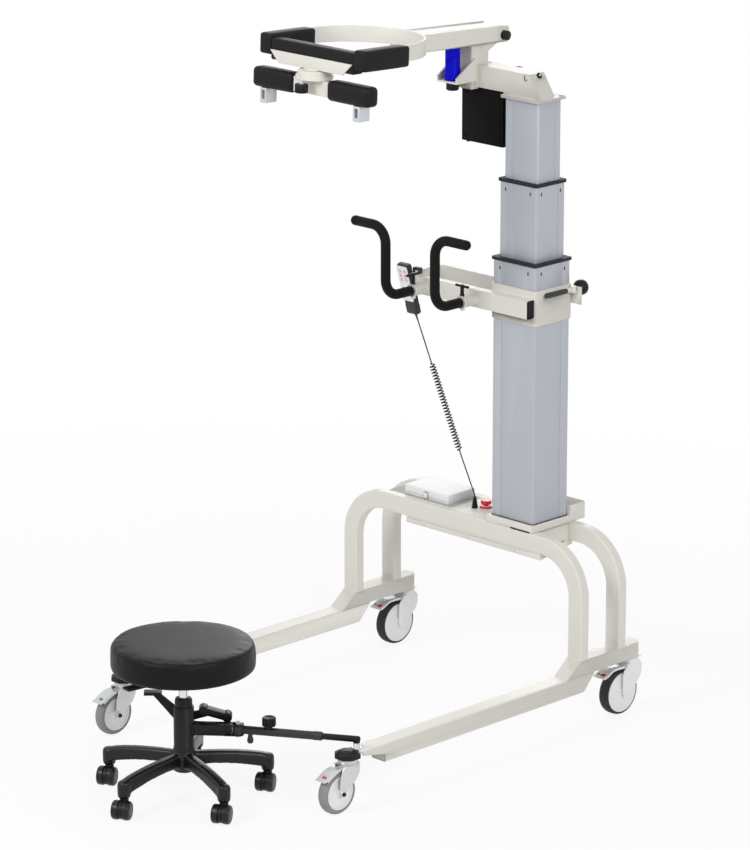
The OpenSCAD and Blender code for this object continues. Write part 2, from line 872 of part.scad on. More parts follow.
// Height of the web's underside over a place along the turned arm
function web_z(y) = pivot_z + (arm_z1 - web_drop - arm_t - pivot_z) * cos(yoke_tilt) + (pivot_y - y)
        * tan(yoke_tilt);

module spring_knob() {
    color(BLACK) translate([yoke_x, spring_y, seat_plate_z - slip_gap]) {
        translate([0, 0, -spring_knob_h]) fluted_knob(spring_knob_d, spring_knob_h, 12);
        translate([0, 0, -1]) cylinder(h = seat_plate_t + 1, d = spring_stem_d);
    }
}

// Turns the level yoke to its slope about the pivot
module tilted() {
    translate([0, pivot_y, pivot_z]) rotate([-yoke_tilt, 0, 0]) translate([0, -pivot_y, -pivot_z])
            children();
}

// Inverted channel with its pivot pin
module yoke_arm() {
    color(CREAM) tilted() difference() {
        union() {
            for (s = [-1, 1]) {
                x = yoke_x + s * (arm_w - arm_t) / 2;
                prism_x(x - arm_t / 2, x + arm_t / 2)
                    polygon([[bow_y, arm_z0], [pivot_y + arm_tail - 4, arm_z0], [pivot_y + arm_tail,
                            arm_z0 + 4],
                             [pivot_y + arm_tail, arm_z1 - 4], [pivot_y + arm_tail - 4, arm_z1],
                             [bow_y, arm_z1 + arm_rise]]);
            }
            prism_x(yoke_x - arm_w / 2 + arm_t, yoke_x + arm_w / 2 - arm_t)
                polygon([[bow_y, arm_z1 + arm_rise - web_drop - arm_t], [pivot_y + arm_tail,
                        arm_z1 - web_drop - arm_t],
                         [pivot_y + arm_tail, arm_z1 - web_drop], [bow_y, arm_z1 + arm_rise - web_drop]]);
        }
        translate([yoke_x, bow_y, arm_z0 - 1]) cylinder(h = arm_z1 - arm_z0 + arm_rise + 2,
                r = bow_r + bow_t / 2);
    }
    color(BLACK) tilted() translate([yoke_x, pivot_y, pivot_z]) rotate([0, 90, 0]) {
        translate([0, 0, -arm_w / 2 + arm_t]) cylinder(h = arm_w - 2 * arm_t, d = pivot_d);
        translate([0, 0, arm_w / 2]) cylinder(h = 14, d = 26);
        translate([0, 0, -arm_w / 2 - 8]) cylinder(h = 8, d = 20, $fn = 6);
    }
}

// U of flat bar on edge
module yoke_bow() {
    color(CREAM) tilted() prism_z(bow_z - bow_h / 2, bow_z + bow_h / 2) translate([yoke_x, bow_y]) {
        difference() {
            circle(r = bow_r + bow_t / 2, $fn = 128);
            circle(r = bow_r - bow_t / 2, $fn = 128);
            translate([-2 * bow_r, -4 * bow_r]) square([4 * bow_r, 4 * bow_r]);
        }
        for (s = [-1, 1])
            translate([s * bow_r - bow_t / 2, -bow_side]) square([bow_t, bow_side]);
    }
}

// Side pads, cross pad and the white plate in front of it
module yoke_pads() {
    color(BLACK) tilted() {
        difference() {
            for (s = [-1, 1])
                prism_y(pad_y0, pad_y0 + pad_len)
                    translate([yoke_x + s * bow_r, bow_z - 5]) rrect(pad_w, pad_h, 8);
            for (s = [-1, 1])
                translate([yoke_x + s * bow_r - bow_t / 2, bow_front, bow_z - bow_h / 2])
                    cube([bow_t, pad_len + pad_y0, bow_h]);
        }
        prism_x(yoke_x - bow_r + pad_w / 2, yoke_x + bow_r - pad_w / 2)
            translate([(cross_pad_y0 + cross_pad_y1) / 2, cross_pad_z0 + cross_pad_h / 2])
                rrect(cross_pad_y1 - cross_pad_y0, cross_pad_h, 6);
    }
    color(WHITE) tilted() prism_y(cross_pad_y0 - face_plate_t, cross_pad_y0)
        polygon([[yoke_x - 117, disc_z + 2], [yoke_x + 117, disc_z + 2], [yoke_x + 149, disc_z + 34],
                 [yoke_x - 149, disc_z + 34]]);
    color(GREY) tilted() translate([yoke_x, disc_y, disc_z]) cylinder(h = 7, d = swivel_d * 0.6);
}

// Swivel disc and the bare middle of the spreader, with a core through the pads
module spreader_bar() {
    color(WHITE) tilted() {
        difference() {
            union() {
                translate([yoke_x, disc_y, spreader_top]) cylinder(h = disc_t / 2, d = swivel_d);
                translate([yoke_x, disc_y, spreader_top]) cylinder(h = disc_t - slip_gap,
                        d = swivel_d - 2 * disc_step);
            }
            translate([yoke_x, swivel_knob_y, spreader_top - 1]) cylinder(h = disc_t,
                    d = swivel_stem_d + 2 * run_fit);
        }
        prism_x(yoke_x - spreader_l / 2 + 12, yoke_x + spreader_l / 2 - 12)
            translate([spreader_y, spreader_top - spreader_h / 2]) rrect(spreader_d, spreader_h, 3);
    }
}

module spreader_pads() {
    color(BLACK) tilted() for (s = [-1, 1]) {
        x = yoke_x + s * (spreader_l / 2 + spad_gap / 2) / 2;
        w = (spreader_l - spad_gap) / 2;
        difference() {
            prism_x(x - w / 2, x + w / 2)
                translate([spreader_y, spreader_top - spreader_h / 2]) rrect(spad_d, spad_h, 8);
            prism_x(x - w / 2 - s * 12 - 1, x + w / 2 - s * 12 + (s < 0 ? 1 : 0))
                translate([spreader_y, spreader_top - spreader_h / 2]) rrect(spreader_d, spreader_h, 3);
        }
    }
}

// Aluminium blocks under the pads, slotted for a harness strap
module strap_blocks() {
    z1 = spreader_top - spreader_h / 2 - spad_h / 2;
    color(ALU) tilted() for (s = [-1, 1])
        translate([yoke_x + s * strap_pitch / 2, spreader_y, z1 - strap_h / 2]) difference() {
            cube([strap_w, strap_d, strap_h], center = true);
            translate([0, 0, 2]) cube([strap_slot_w, strap_d + 2, strap_slot_h], center = true);
        }
}

module swivel_knob() {
    color(BLACK) tilted() translate([yoke_x, swivel_knob_y, spreader_top - 8]) {
        translate([0, 0, -swivel_knob_h]) fluted_knob(swivel_knob_d, swivel_knob_h);
        cylinder(h = 8 + disc_t / 2 - 2, d = swivel_stem_d);
    }
}

// Collar, cross rail, bent bracket, two sockets, clamp plate and end plug
module handle_carriage() {
    color(CREAM) {
        translate([col_x, col_y, 0]) prism_z(collar_z, collar_z + collar_h)
            tube_section(collar_out_w, collar_out_d, collar_t, col_r + collar_t);
        difference() {
            prism_x(cross_x0, cross_x1) translate([(cross_y0 + cross_y1) / 2, cross_z])
                tube_section(cross_d, cross_h, rail_wall, tube_r);
            for (s = [-1, 1]) socket_bore(s);
        }
        bracket();
        for (s = [-1, 1]) difference() {
            prism_y(socket_y0, cross_y0) translate([yoke_x + s * socket_pitch / 2, socket_z])
                    circle(d = socket_d);
            socket_bore(s);
            translate([yoke_x + s * socket_pitch / 2, screw_y, socket_z])
                cylinder(h = socket_d, d = screw_d + 2 * run_fit, $fn = 32);
        }
        difference() {
            translate([collar_x1 - clamp_plate_w, clamp_y, clamp_z - clamp_plate_h + 7])
                cube([2 * clamp_plate_w, clamp_plate_t, clamp_plate_h]);
            translate([clamp_x, clamp_y - 1, clamp_z]) rotate([-90, 0, 0])
                cylinder(h = clamp_plate_t + 2, d = axle_d + 2 * run_fit);
        }
    }
    color(BLACK) prism_x(cross_x1 - 8, cross_x1 + 2) translate([(cross_y0 + cross_y1) / 2, cross_z])
        rrect(cross_d - 2 * rail_wall, cross_h - 2 * rail_wall, 1);
}

// Bore of a handlebar socket, which runs on into the cross rail
module socket_bore(s) {
    prism_y(socket_y0 - 1, cross_y0 + rail_wall + 1)
        translate([yoke_x + s * socket_pitch / 2, socket_z]) circle(d = bar_d + 2 * run_fit);
}

// Bent plate from the collar's left face round to the cross rail's left end
module bracket() {
    bend = 14;
    prism_z(bracket_z0, bracket_top) {
        translate([flange_x0 + bend, bracket_y - bracket_t])
            square([col_x - collar_out_w / 2 - flange_x0 - bend + 1, bracket_t]);
        translate([flange_x0, cross_y0]) square([bracket_t, bracket_y - bend - cross_y0]);
        translate([flange_x0 + bend, bracket_y - bend]) intersection() {
            difference() {
                circle(r = bend);
                circle(r = bend - bracket_t);
            }
            translate([-bend, 0]) square(bend);
        }
    }
}

// Handlebar: steel end in the socket, grip forward, up and out to one side
module handlebar(s) {
    x0 = yoke_x + s * socket_pitch / 2;
    color(BLACK) translate([x0, 0, 0]) scale_x(s) {
        prism_y(socket_y0 - 1, cross_y0 - 1) translate([0, socket_z]) circle(d = bar_d);
        prism_y(bar_y + bar_bend, socket_y0 - slip_gap) translate([0, socket_z]) circle(d = grip_d);
        translate([0, bar_y + bar_bend, socket_z + bar_bend]) rotate([0, 0, 90]) rotate([90, 0, 0])
            rotate_extrude(angle = 90, start = 180) translate([bar_bend, 0]) circle(d = grip_d);
        prism_z(socket_z + bar_bend, bar_top_z - bar_bend) translate([0, bar_y]) circle(d = grip_d);
        translate([bar_bend, bar_y, bar_top_z - bar_bend]) rotate([90, 0, 0])
            rotate_extrude(angle = 90, start = 90) translate([bar_bend, 0]) circle(d = grip_d);
        prism_x(bar_bend, bar_reach - grip_d / 2) translate([bar_y, bar_top_z]) circle(d = grip_d);
        translate([bar_reach - grip_d / 2, bar_y, bar_top_z]) sphere(d = grip_d);
    }
}

module handlebar_left() {
    handlebar(-1);
}

module handlebar_right() {
    handlebar(1);
}

// T-handled screw standing in a socket, its bar turned by the angle
module t_screw(s, angle) {
    color(BLACK) translate([yoke_x + s * socket_pitch / 2, screw_y, socket_z + bar_d / 2 + slip_gap]) {
        cylinder(h = socket_d / 2 - bar_d / 2 + screw_h, d = screw_d, $fn = 32);
        translate([0, 0, socket_d / 2 - bar_d / 2 + screw_h - 1]) rotate([0, 90, angle])
            cylinder(h = screw_bar_l, d = screw_bar_d, center = true, $fn = 32);
    }
}

module t_screw_left() {
    t_screw(-1, 90);
}

module t_screw_right() {
    t_screw(1, 0);
}

// Cam lever lying forward beside the collar
module clamp_lever() {
    color(GREY) translate([clamp_x, 0, clamp_z]) {
        translate([0, clamp_pivot_y, -clamp_barrel_d / 2]) cylinder(h = clamp_barrel_d, d = clamp_barrel_d);
        prism_y(clamp_pivot_y - clamp_grip_l, clamp_pivot_y) circle(d = clamp_grip_d - 2);
    }
}

// Ball knob on the far end of the clamp's rod
module clamp_knob() {
    color(BLACK) translate([clamp_x, clamp_y, clamp_z]) rotate([-90, 0, 0]) {
        cylinder(h = clamp_plate_t + 2, d = axle_d);
        translate([0, 0, clamp_plate_t + slip_gap]) {
            cylinder(h = clamp_knob_l * 0.4, d1 = clamp_knob_d * 0.5, d2 = clamp_knob_d);
            translate([0, 0, clamp_knob_l * 0.4]) cylinder(h = clamp_knob_l * 0.35, d = clamp_knob_d);
            translate([0, 0, clamp_knob_l * 0.75])
                cylinder(h = clamp_knob_l * 0.25, d1 = clamp_knob_d, d2 = clamp_knob_d * 0.6);
        }
    }
}

// Places a child drawn upright on the handset's own leaning axes
module on_handset() {
    translate([flange_x0 - slip_gap - handset_w / 2, handset_foot[1], handset_foot[2]])
        rotate([handset_tilt, 0, 0]) children();
}

// Pendant control with a hook over the bracket and a strain relief below
module handset() {
    color(GREY) on_handset() {
        prism_z(0, handset_l) rrect(handset_w, handset_t, 4);
        translate([0, 0, handset_l - 52]) prism_z(0, 44) translate([0, -handset_t / 2 - 1])
                square([handset_w - 8, 2.5], center = true);
    }
    color(BLACK) {
        translate([flange_x0 - slip_gap - 12, hook_y, bracket_top + slip_gap])
            cube([bracket_t + 12 + 2 * slip_gap + 4, 14, 6]);
        translate([flange_x0 + bracket_t + slip_gap, hook_y, bracket_top - 10])
            cube([4, 14, 12]);
        rod_between(cord_relief, cord_top, 8);
    }
}

// Keys on the handset's face
module handset_buttons() {
    color("mediumvioletred") on_handset() for (i = [0:2], s = [-1, 1])
        translate([s * 9, -handset_t / 2 - 2.25 - key_gap, handset_l - 18 - i * 13])
            rotate([90, 0, 0]) cylinder(h = 1.5, d = 8);
}

// Unit vector
function unit(v) = v / norm(v);

// Points along a straight line
function line_points(a, b, n) = [for (i = [0:n]) a + (b - a) * i / n];

// Points of the curls: straight out of each end, then opening to the full radius
curl_axis = unit(curl_b - curl_a);
curl_u = unit(cross(curl_axis, [0, 1, 0]));
curl_v = cross(curl_axis, curl_u);
curl_r = (curl_d - cord_d) / 2;
curl_len = norm(curl_b - curl_a);
curl_steps = curl_turns * curl_rings;
function curl_open(i) = min(1, min(i, curl_steps - i) / curl_rings);
function curl_point(i) =
    curl_a + curl_axis * (cord_d + 2 + (curl_len - 2 * cord_d - 4) * i / curl_steps)
    + curl_r * curl_open(i) * (curl_u * cos(i * 360 / curl_rings) + curl_v * sin(i * 360 / curl_rings));
curl_path = concat([curl_a, curl_a + curl_axis * cord_d], [for (i = [1:curl_steps - 1]) curl_point(i)],
                   [curl_b - curl_axis * cord_d, curl_b]);
curl_gap = min([for (i = [2:len(curl_path) - 3], j = [i + curl_rings - 2:min(i + curl_rings + 2,
        len(curl_path) - 3)])
    if (j > i + 3) norm(curl_path[i] - curl_path[j])]) - cord_d;
echo(least_gap_between_curls = curl_gap);

// Direction of a path at one of its points
function along(p, i) = unit(p[min(i + 1, len(p) - 1)] - p[max(i - 1, 0)]);

// Side vectors carried along a path without twist
function side_vectors(p) = [for (i = 0, u = unit(cross(along(p, 0), [0.3, 1, 0.2])); i < len(p);
    i = i + 1, u = i < len(p) ? unit(u - along(p, i) * (u * along(p, i))) : u) u];

// Round tube swept along a path, faces in triangles
module path_tube(p, d, sides) {
    us = side_vectors(p);
    n = len(p);
    pts = [for (i = [0:n - 1]) let (t = along(p, i), v = cross(t, us[i]))
        for (k = [0:sides - 1]) p[i] + d / 2 * (us[i] * cos(k * 360 / sides) + v * sin(k * 360 / sides))];
    walls = [for (i = [0:n - 2], k = [0:sides - 1]) let (a = i * sides + k, b = i * sides + (k + 1) % sides)
        for (f = [[a, a + sides, b + sides], [a, b + sides, b]]) f];
    foot = [for (k = [1:sides - 2]) [0, k, k + 1]];
    top = [for (k = [1:sides - 2]) [(n - 1) * sides, (n - 1) * sides + k + 1, (n - 1) * sides + k]];
    polyhedron(concat(pts), concat(walls, foot, top), convexity = 8);
}

module handset_cord_curl() {
    color(BLACK) path_tube(curl_path, cord_d, curl_sides);
}

// Straight leads above and below the curls, the lower one turning down into the gland
module handset_cord_leads() {
    color(BLACK) {
        path_tube(line_points(cord_top, curl_a, lead_rings), cord_d, lead_sides);
        path_tube(concat(line_points(curl_b, lead_bend, lead_rings - 2), [lead_bend + [2.6, 1, -9],
                cord_foot + [0, 0, cord_d], cord_foot]),
                  cord_d, lead_sides);
    }
}

// One star arm along +X: arched beam that ends in a caster socket
module star_arm() {
    difference() {
        union() {
            prism_y(-star_arm_w / 2, star_arm_w / 2)
                polygon([[0, stool_tip_z + 14], [star_r * 0.25, stool_tip_z + 24], [star_r * 0.55,
                        stool_tip_z + 21],
                         [star_r - 15, stool_tip_z + 4], [star_r - 15, stool_tip_z], [star_r, stool_tip_z],
                         [star_r, stool_tip_z + 36], [star_r * 0.8, stool_tip_z + 46],
                         [star_r * 0.45, star_hub_z - 6], [0, star_hub_z]]);
            translate([star_r, 0, stool_tip_z]) cylinder(h = 36, d = star_arm_w);
        }
        translate([star_r, 0, stool_tip_z - 1]) cylinder(h = 30, d = stool_stem_d + 2 * run_fit);
    }
}

// Star, column tube, collar and the square arm with its clevis
module stool_base() {
    color(BLACK) difference() {
        union() {
            translate([stool_x, stool_y, 0]) {
                for (k = [0:star_n - 1]) rotate(star_a0 + k * 360 / star_n) star_arm();
                translate([0, 0, stool_tip_z + 8]) cylinder(h = stool_col_top - stool_tip_z - 8,
                        d = stool_col_d);
                translate([0, 0, stool_col_top]) cylinder(h = stool_collar_h, d = stool_collar_d);
                rotate(sq_angle) prism_x(0, sq_len - 30) translate([0, arm_z]) rrect(sq_w, sq_w, 3);
            }
            translate([hinge_x, hinge_y, 0]) rotate(sq_angle) for (s = [-1, 1])
                translate([0, 0, arm_z + s * (sq_w - clevis_t) / 2 - clevis_t / 2]) {
                    translate([-36, -sq_w / 2, 0]) cube([36, sq_w, clevis_t]);
                    cylinder(h = clevis_t, d = sq_w);
                }
        }
        translate([stool_x, stool_y, stool_tip_z + 20]) cylinder(h = seat_z, d = piston_d + 2 * run_fit);
        translate([stool_x, stool_y, lever_z]) rotate([0, 90, 135]) cylinder(h = stool_col_d,
                d = 8 + 2 * run_fit);
    }
    color("silver") translate([hinge_x, hinge_y, arm_z - sq_w / 2 - 4]) {
        cylinder(h = sq_w + 8, d = hinge_d);
        translate([0, 0, sq_w + 4]) cylinder(h = 6, d = 17, $fn = 6);
    }
}

// Gas spring's piston
module stool_seat_post() {
    color("silver") translate([stool_x, stool_y, stool_tip_z + 50])
        cylinder(h = seat_z0 - plate_under - stool_tip_z - 50, d = piston_d);
}

// Plate under the cushion with the hub that turns on the piston
module stool_seat_plate() {
    color(BLACK) translate([stool_x, stool_y, 0]) difference() {
        union() {
            translate([0, 0, seat_z0 - 4]) cylinder(h = 4, d = seat_plate_w);
            translate([0, 0, seat_z0 - plate_hub]) cylinder(h = plate_hub, d = piston_d + 18);
        }
        translate([0, 0, seat_z0 - plate_hub - 1]) cylinder(h = plate_hub - plate_under + 1 + slip_gap,
                d = piston_d + 2 * run_fit);
        rotate(seat_lever_a) translate([0, 0, seat_z0 - 20]) rotate([0, 90, 0])
            cylinder(h = 40, d = 8 + 2 * lever_play);
    }
}

// Round cushion: low crown, rolled top edge, sides that draw in to the foot
module stool_cushion() {
    r = seat_d / 2;
    crown = 6;
    roll = 12;
    side_n = 8;
    color(BLACK) translate([stool_x, stool_y, seat_z0]) rotate_extrude($fn = 96)
        polygon(concat([[0, 0], [r - 16, 0]],
            [for (i = [0:side_n]) [r - 10 + 10 * sin(i * 90 / side_n), 3 + (seat_t * 0.45 - 3)
                    * i / side_n]],
            [for (i = [0:side_n]) [r - roll + roll * cos(i * 80 / side_n),
                    seat_t - crown - roll + roll * sin(i * 80 / side_n)]],
            [for (i = [1:side_n]) [(r - roll) * (1 - i / side_n), seat_t - crown * pow(1 - i / side_n,
                    2)]]));
}

// Flat lever under the seat that frees the gas spring
module stool_height_lever() {
    color(BLACK) translate([stool_x, stool_y, seat_z0 - 20]) rotate(seat_lever_a) {
        rotate([0, 90, 0]) translate([0, 0, piston_d / 2 + 2]) cylinder(h = 120, d = 8);
        translate([piston_d / 2 + 112, -14, -3]) cube([54, 28, 6]);
    }
}

// Two-armed rocker behind the column: paddle on one side, rounded grip on the other
module stool_lock_lever() {
    off = stool_col_d / 2 + slip_gap;
    color(BLACK) translate([stool_x, stool_y, 0]) rotate(45) {
        translate([0, off - 6, lever_z]) rotate([-90, 0, 0]) cylinder(h = 14, d = 8);
        prism_y(off, off + 7) {
            translate([0, lever_z]) circle(d = 26);
            polygon([[-2, lever_z - 13], [-22, lever_z - 8], [-80, lever_z + 62], [-62, lever_z + 66],
                    [0, lever_z + 13]]);
            polygon([[0, lever_z + 13], [60, lever_z + 22], [60, lever_z + 4], [0, lever_z - 13]]);
        }
        prism_y(off - 8, off + 22) {
            translate([-80, lever_z + 66]) square([46, 7], center = true);
            translate([50, lever_z + 20]) circle(d = 25);
            translate([111, lever_z + 2]) circle(d = 25);
            translate([80, lever_z + 11]) rotate(-16.5) square([60, 18], center = true);
        }
    }
}

// Places a child drawn along +X on the telescopic arm's axis, from the hinge
module on_arm() {
    translate([hinge_x, hinge_y, rod_z]) rotate(arm_angle) children();
}

// Outer tube with the eye that turns on the stool's hinge pin
module stool_arm_tube() {
    color(BLACK) on_arm() difference() {
        union() {
            rotate([0, 90, 0]) translate([0, 0, 8]) cylinder(h = arm_tube_l - 8, d = arm_tube_d);
            translate([0, 0, -arm_eye_h / 2]) cylinder(h = arm_eye_h, d = sq_w);
        }
        rotate([0, 90, 0]) translate([0, 0, 26]) cylinder(h = arm_tube_l, d = arm_rod_d + 2 * run_fit);
        translate([0, 0, -sq_w]) cylinder(h = 2 * sq_w, d = hinge_d + 2 * run_fit);
        translate([arm_knob_at, 0, 0]) cylinder(h = arm_tube_d, d = 8 + 2 * run_fit);
    }
    color(BLACK) on_arm() translate([32, -5, -arm_tube_d / 2 - 24]) {
        translate([0, 5, 5]) cylinder(h = 21, d = 12);
        translate([0, 5, 5]) sphere(d = 12);
    }
}

// Inner rod with the eye that turns on the rail's pin
module stool_arm_rod() {
    color(BLACK) on_arm() difference() {
        union() {
            rotate([0, 90, 0]) translate([0, 0, arm_rod_from]) cylinder(h = arm_len - arm_rod_from - 8,
                    d = arm_rod_d);
            translate([arm_len, 0, -rod_eye_h / 2]) cylinder(h = rod_eye_h, d = 26);
        }
        translate([arm_len, 0, -arm_rod_d]) cylinder(h = 2 * arm_rod_d, d = hinge_d + 2 * run_fit);
    }
}

module stool_arm_knob() {
    color(BLACK) on_arm() translate([arm_knob_at, 0, 0]) {
        translate([0, 0, arm_rod_d / 2 + slip_gap]) cylinder(h = 10, d = 8);
        translate([0, 0, arm_tube_d / 2 + slip_gap]) cylinder(h = 6, d = 16);
        translate([0, 0, arm_tube_d / 2 + 5]) fluted_knob(arm_knob_d, 24);
    }
}

// Fork of a caster about its stem: head, web, two cheeks and the wheel's axle
module fork(d, w, trail, head_z, top_z, head_d, stem_d, stem_top, cheek_t, cheek_back) {
    web_z = d + 3;
    half = w / 2 + wheel_side;
    difference() {
        union() {
            translate([0, 0, head_z]) cylinder(h = top_z - head_z, d = head_d);
            translate([0, 0, top_z - 1]) cylinder(h = stem_top - top_z + 1, d = stem_d);
            translate([-half, -14, web_z]) cube([2 * half, 14 + cheek_back, head_z - web_z + 0.5]);
            for (s = [-1, 1])
                prism_x(s * (half + cheek_t / 2) - cheek_t / 2, s * (half + cheek_t / 2) + cheek_t / 2) {
                    polygon([[-trail - 10, d / 2 + 8], [-trail - 2, web_z - 4], [-pedal_back - 9, head_z],
                             [cheek_back, head_z], [cheek_back, web_z - 16], [-trail + 12, d / 2 - 4]]);
                    translate([-trail, d / 2]) circle(r = 13);
                }
        }
        translate([0, -pedal_back, head_z - 7]) rotate([0, 90, 0])
            cylinder(h = 2 * half + 4 * cheek_t, d = pedal_pin_d + 2 * run_fit, center = true);
    }
    translate([0, -trail, d / 2]) rotate([0, 90, 0]) {
        cylinder(h = 2 * half + cheek_t, d = axle_d, center = true);
        for (s = [-1, 1]) translate([0, 0, s * (half + cheek_t + 2)]) cylinder(h = 4, d = axle_d + 6,
                center = true);
    }
}

// Wheel with a hub bore, thick at the hub and with rounded tyre shoulders
module wheel(d, w, trail) {
    r = d / 2;
    translate([0, -trail, r]) rotate([0, 90, 0]) rotate_extrude($fn = 96)
        polygon([[axle_d / 2 + run_fit, -w / 2 - wheel_side + slip_gap], [14,
                -w / 2 - wheel_side + slip_gap], [14, -w / 2],
                 [r - 6, -w / 2], [r - 2, -w / 2 + 3], [r, -w / 2 + 9], [r, w / 2 - 9], [r - 2,
                         w / 2 - 3], [r - 6, w / 2],
                 [14, w / 2], [14, w / 2 + wheel_side - slip_gap], [axle_d / 2 + run_fit,
                         w / 2 + wheel_side - slip_gap]]);
}

// Brake pedal: sheet blade on a cross pin, reaching forward over the wheel
module pedal(d, w, head_z, reach, tip_z, blade_w) {
    z = head_z - 7;
    half = w / 2 + wheel_side - slip_gap;
    translate([0, -pedal_back, z]) rotate([0, 90, 0]) {
        cylinder(h = 2 * half, d = pedal_pin_d + 5, center = true);
        cylinder(h = 2 * half + 4, d = pedal_pin_d, center = true);
    }
    prism_x(-half + 2, half - 2)
        polygon([[-pedal_back, z - 3], [-pedal_back - 2, z + 3], [-reach * 0.72, z + 1],
                [-reach * 0.72, z - 3]]);
    prism_x(-blade_w / 2, blade_w / 2)
        polygon([[-reach * 0.7, z + 1], [-reach, tip_z + 2], [-reach, tip_z - 2], [-reach * 0.7, z - 3.4]]);
}

module rear_fork(s) {
    color(WHITE) translate([s * rail_x, rear_y, 0])
        fork(rear_wheel_d, rear_wheel_w, rear_trail, leg_top - 18, leg_top - 0.3, rail_w + 4, stem_rear_d,
             leg_top + rail_wall + stem_rise, 5, 26);
}

module front_fork(s) {
    color("silver") translate([s * rail_x, front_y, 0])
        fork(front_wheel_d, front_wheel_w, front_trail, leg_top - 27, leg_top - tab_t - cap_drop - 0.3,
                cap_d * 0.8,
             stem_front_d, leg_top - 0.5, 3, 24);
}

module rear_wheel(s) {
    color(BLACK) translate([s * rail_x, rear_y, 0]) wheel(rear_wheel_d, rear_wheel_w, rear_trail);
}

module front_wheel(s) {
    color(GREY) translate([s * rail_x, front_y, 0]) wheel(front_wheel_d, front_wheel_w, front_trail);
}

module rear_pedal(s) {
    color(WHITE) translate([s * rail_x, rear_y, 0])
        pedal(rear_wheel_d, rear_wheel_w, leg_top - 18, 130, leg_top - 40, 44);
}

module front_pedal(s) {
    color("silver") translate([s * rail_x, front_y, 0])
        pedal(front_wheel_d, front_wheel_w, leg_top - 27, 100, leg_top - 55, 38);
}

module rear_fork_left() { rear_fork(-1); }
module rear_fork_right() { rear_fork(1); }
module rear_wheel_left() { rear_wheel(-1); }
module rear_wheel_right() { rear_wheel(1); }
module rear_pedal_left() { rear_pedal(-1); }
module rear_pedal_right() { rear_pedal(1); }
module front_fork_left() { front_fork(-1); }
module front_fork_right() { front_fork(1); }
module front_wheel_left() { front_wheel(-1); }
module front_wheel_right() { front_wheel(1); }
module front_pedal_left() { front_pedal(-1); }
module front_pedal_right() { front_pedal(1); }

// Twin-wheel caster in star arm k, trailing the same way as its neighbours
module stool_caster(k) {
    a = star_a0 + k * 360 / star_n;
    color(BLACK) translate([stool_x + star_r * cos(a), stool_y + star_r * sin(a), 0])
            rotate(stool_trail_a) {
        translate([0, 0, stool_wheel_d / 2 + 8]) cylinder(h = stool_tip_z + 24 - stool_wheel_d / 2 - 8,
                d = stool_stem_d);
        translate([0, 0, stool_wheel_d / 2 + 8])
                cylinder(h = stool_tip_z - slip_gap - stool_wheel_d / 2 - 8, d = 20);
        translate([stool_trail, 0, stool_wheel_d / 2]) rotate([90, 0, 0]) {
            cylinder(h = 14, d = stool_wheel_d - 4, center = true);
            for (s = [-1, 1]) translate([0, 0, s * 15]) cylinder(h = 18, d = stool_wheel_d, center = true);
        }
    }
}

module stool_caster_1() { stool_caster(0); }
module stool_caster_2() { stool_caster(1); }
module stool_caster_3() { stool_caster(2); }
module stool_caster_4() { stool_caster(3); }
module stool_caster_5() { stool_caster(4); }

side_rail_left();
side_rail_right();
arch_frame();
deck_tray();
battery_box();
column_base();
column_outer();
lift_drive();
estop_button();
column_middle();
column_inner();
top_beam();
drive_box();
beam_knob();
yoke_spring();
spring_knob();
yoke_arm();
yoke_bow();
yoke_pads();
spreader_bar();
spreader_pads();
strap_blocks();
swivel_knob();
handle_carriage();
clamp_lever();
clamp_knob();
handlebar_left();
handlebar_right();
t_screw_left();
t_screw_right();
handset();
handset_buttons();
handset_cord_curl();
handset_cord_leads();
stool_base();
stool_seat_post();
stool_seat_plate();
stool_cushion();
stool_height_lever();
stool_lock_lever();
stool_arm_tube();
stool_arm_rod();
stool_arm_knob();
rear_fork_left();
rear_fork_right();
rear_wheel_left();
rear_wheel_right();
rear_pedal_left();
rear_pedal_right();
front_fork_left();
front_fork_right();
front_wheel_left();
front_wheel_right();
front_pedal_left();
front_pedal_right();
stool_caster_1();
stool_caster_2();
stool_caster_3();
stool_caster_4();
stool_caster_5();
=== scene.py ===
"""Looks of a body weight support system for gait training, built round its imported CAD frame.

All sizes are in millimetres of the frame (X across, Y from the open front to the back, Z up)
and become metres when a piece is finished.
"""

from __future__ import annotations

import json
import logging
import math
from dataclasses import dataclass
from enum import Enum
from typing import Callable, Iterable, Sequence

import bmesh
import bpy
from mathutils import Matrix, Vector, noise

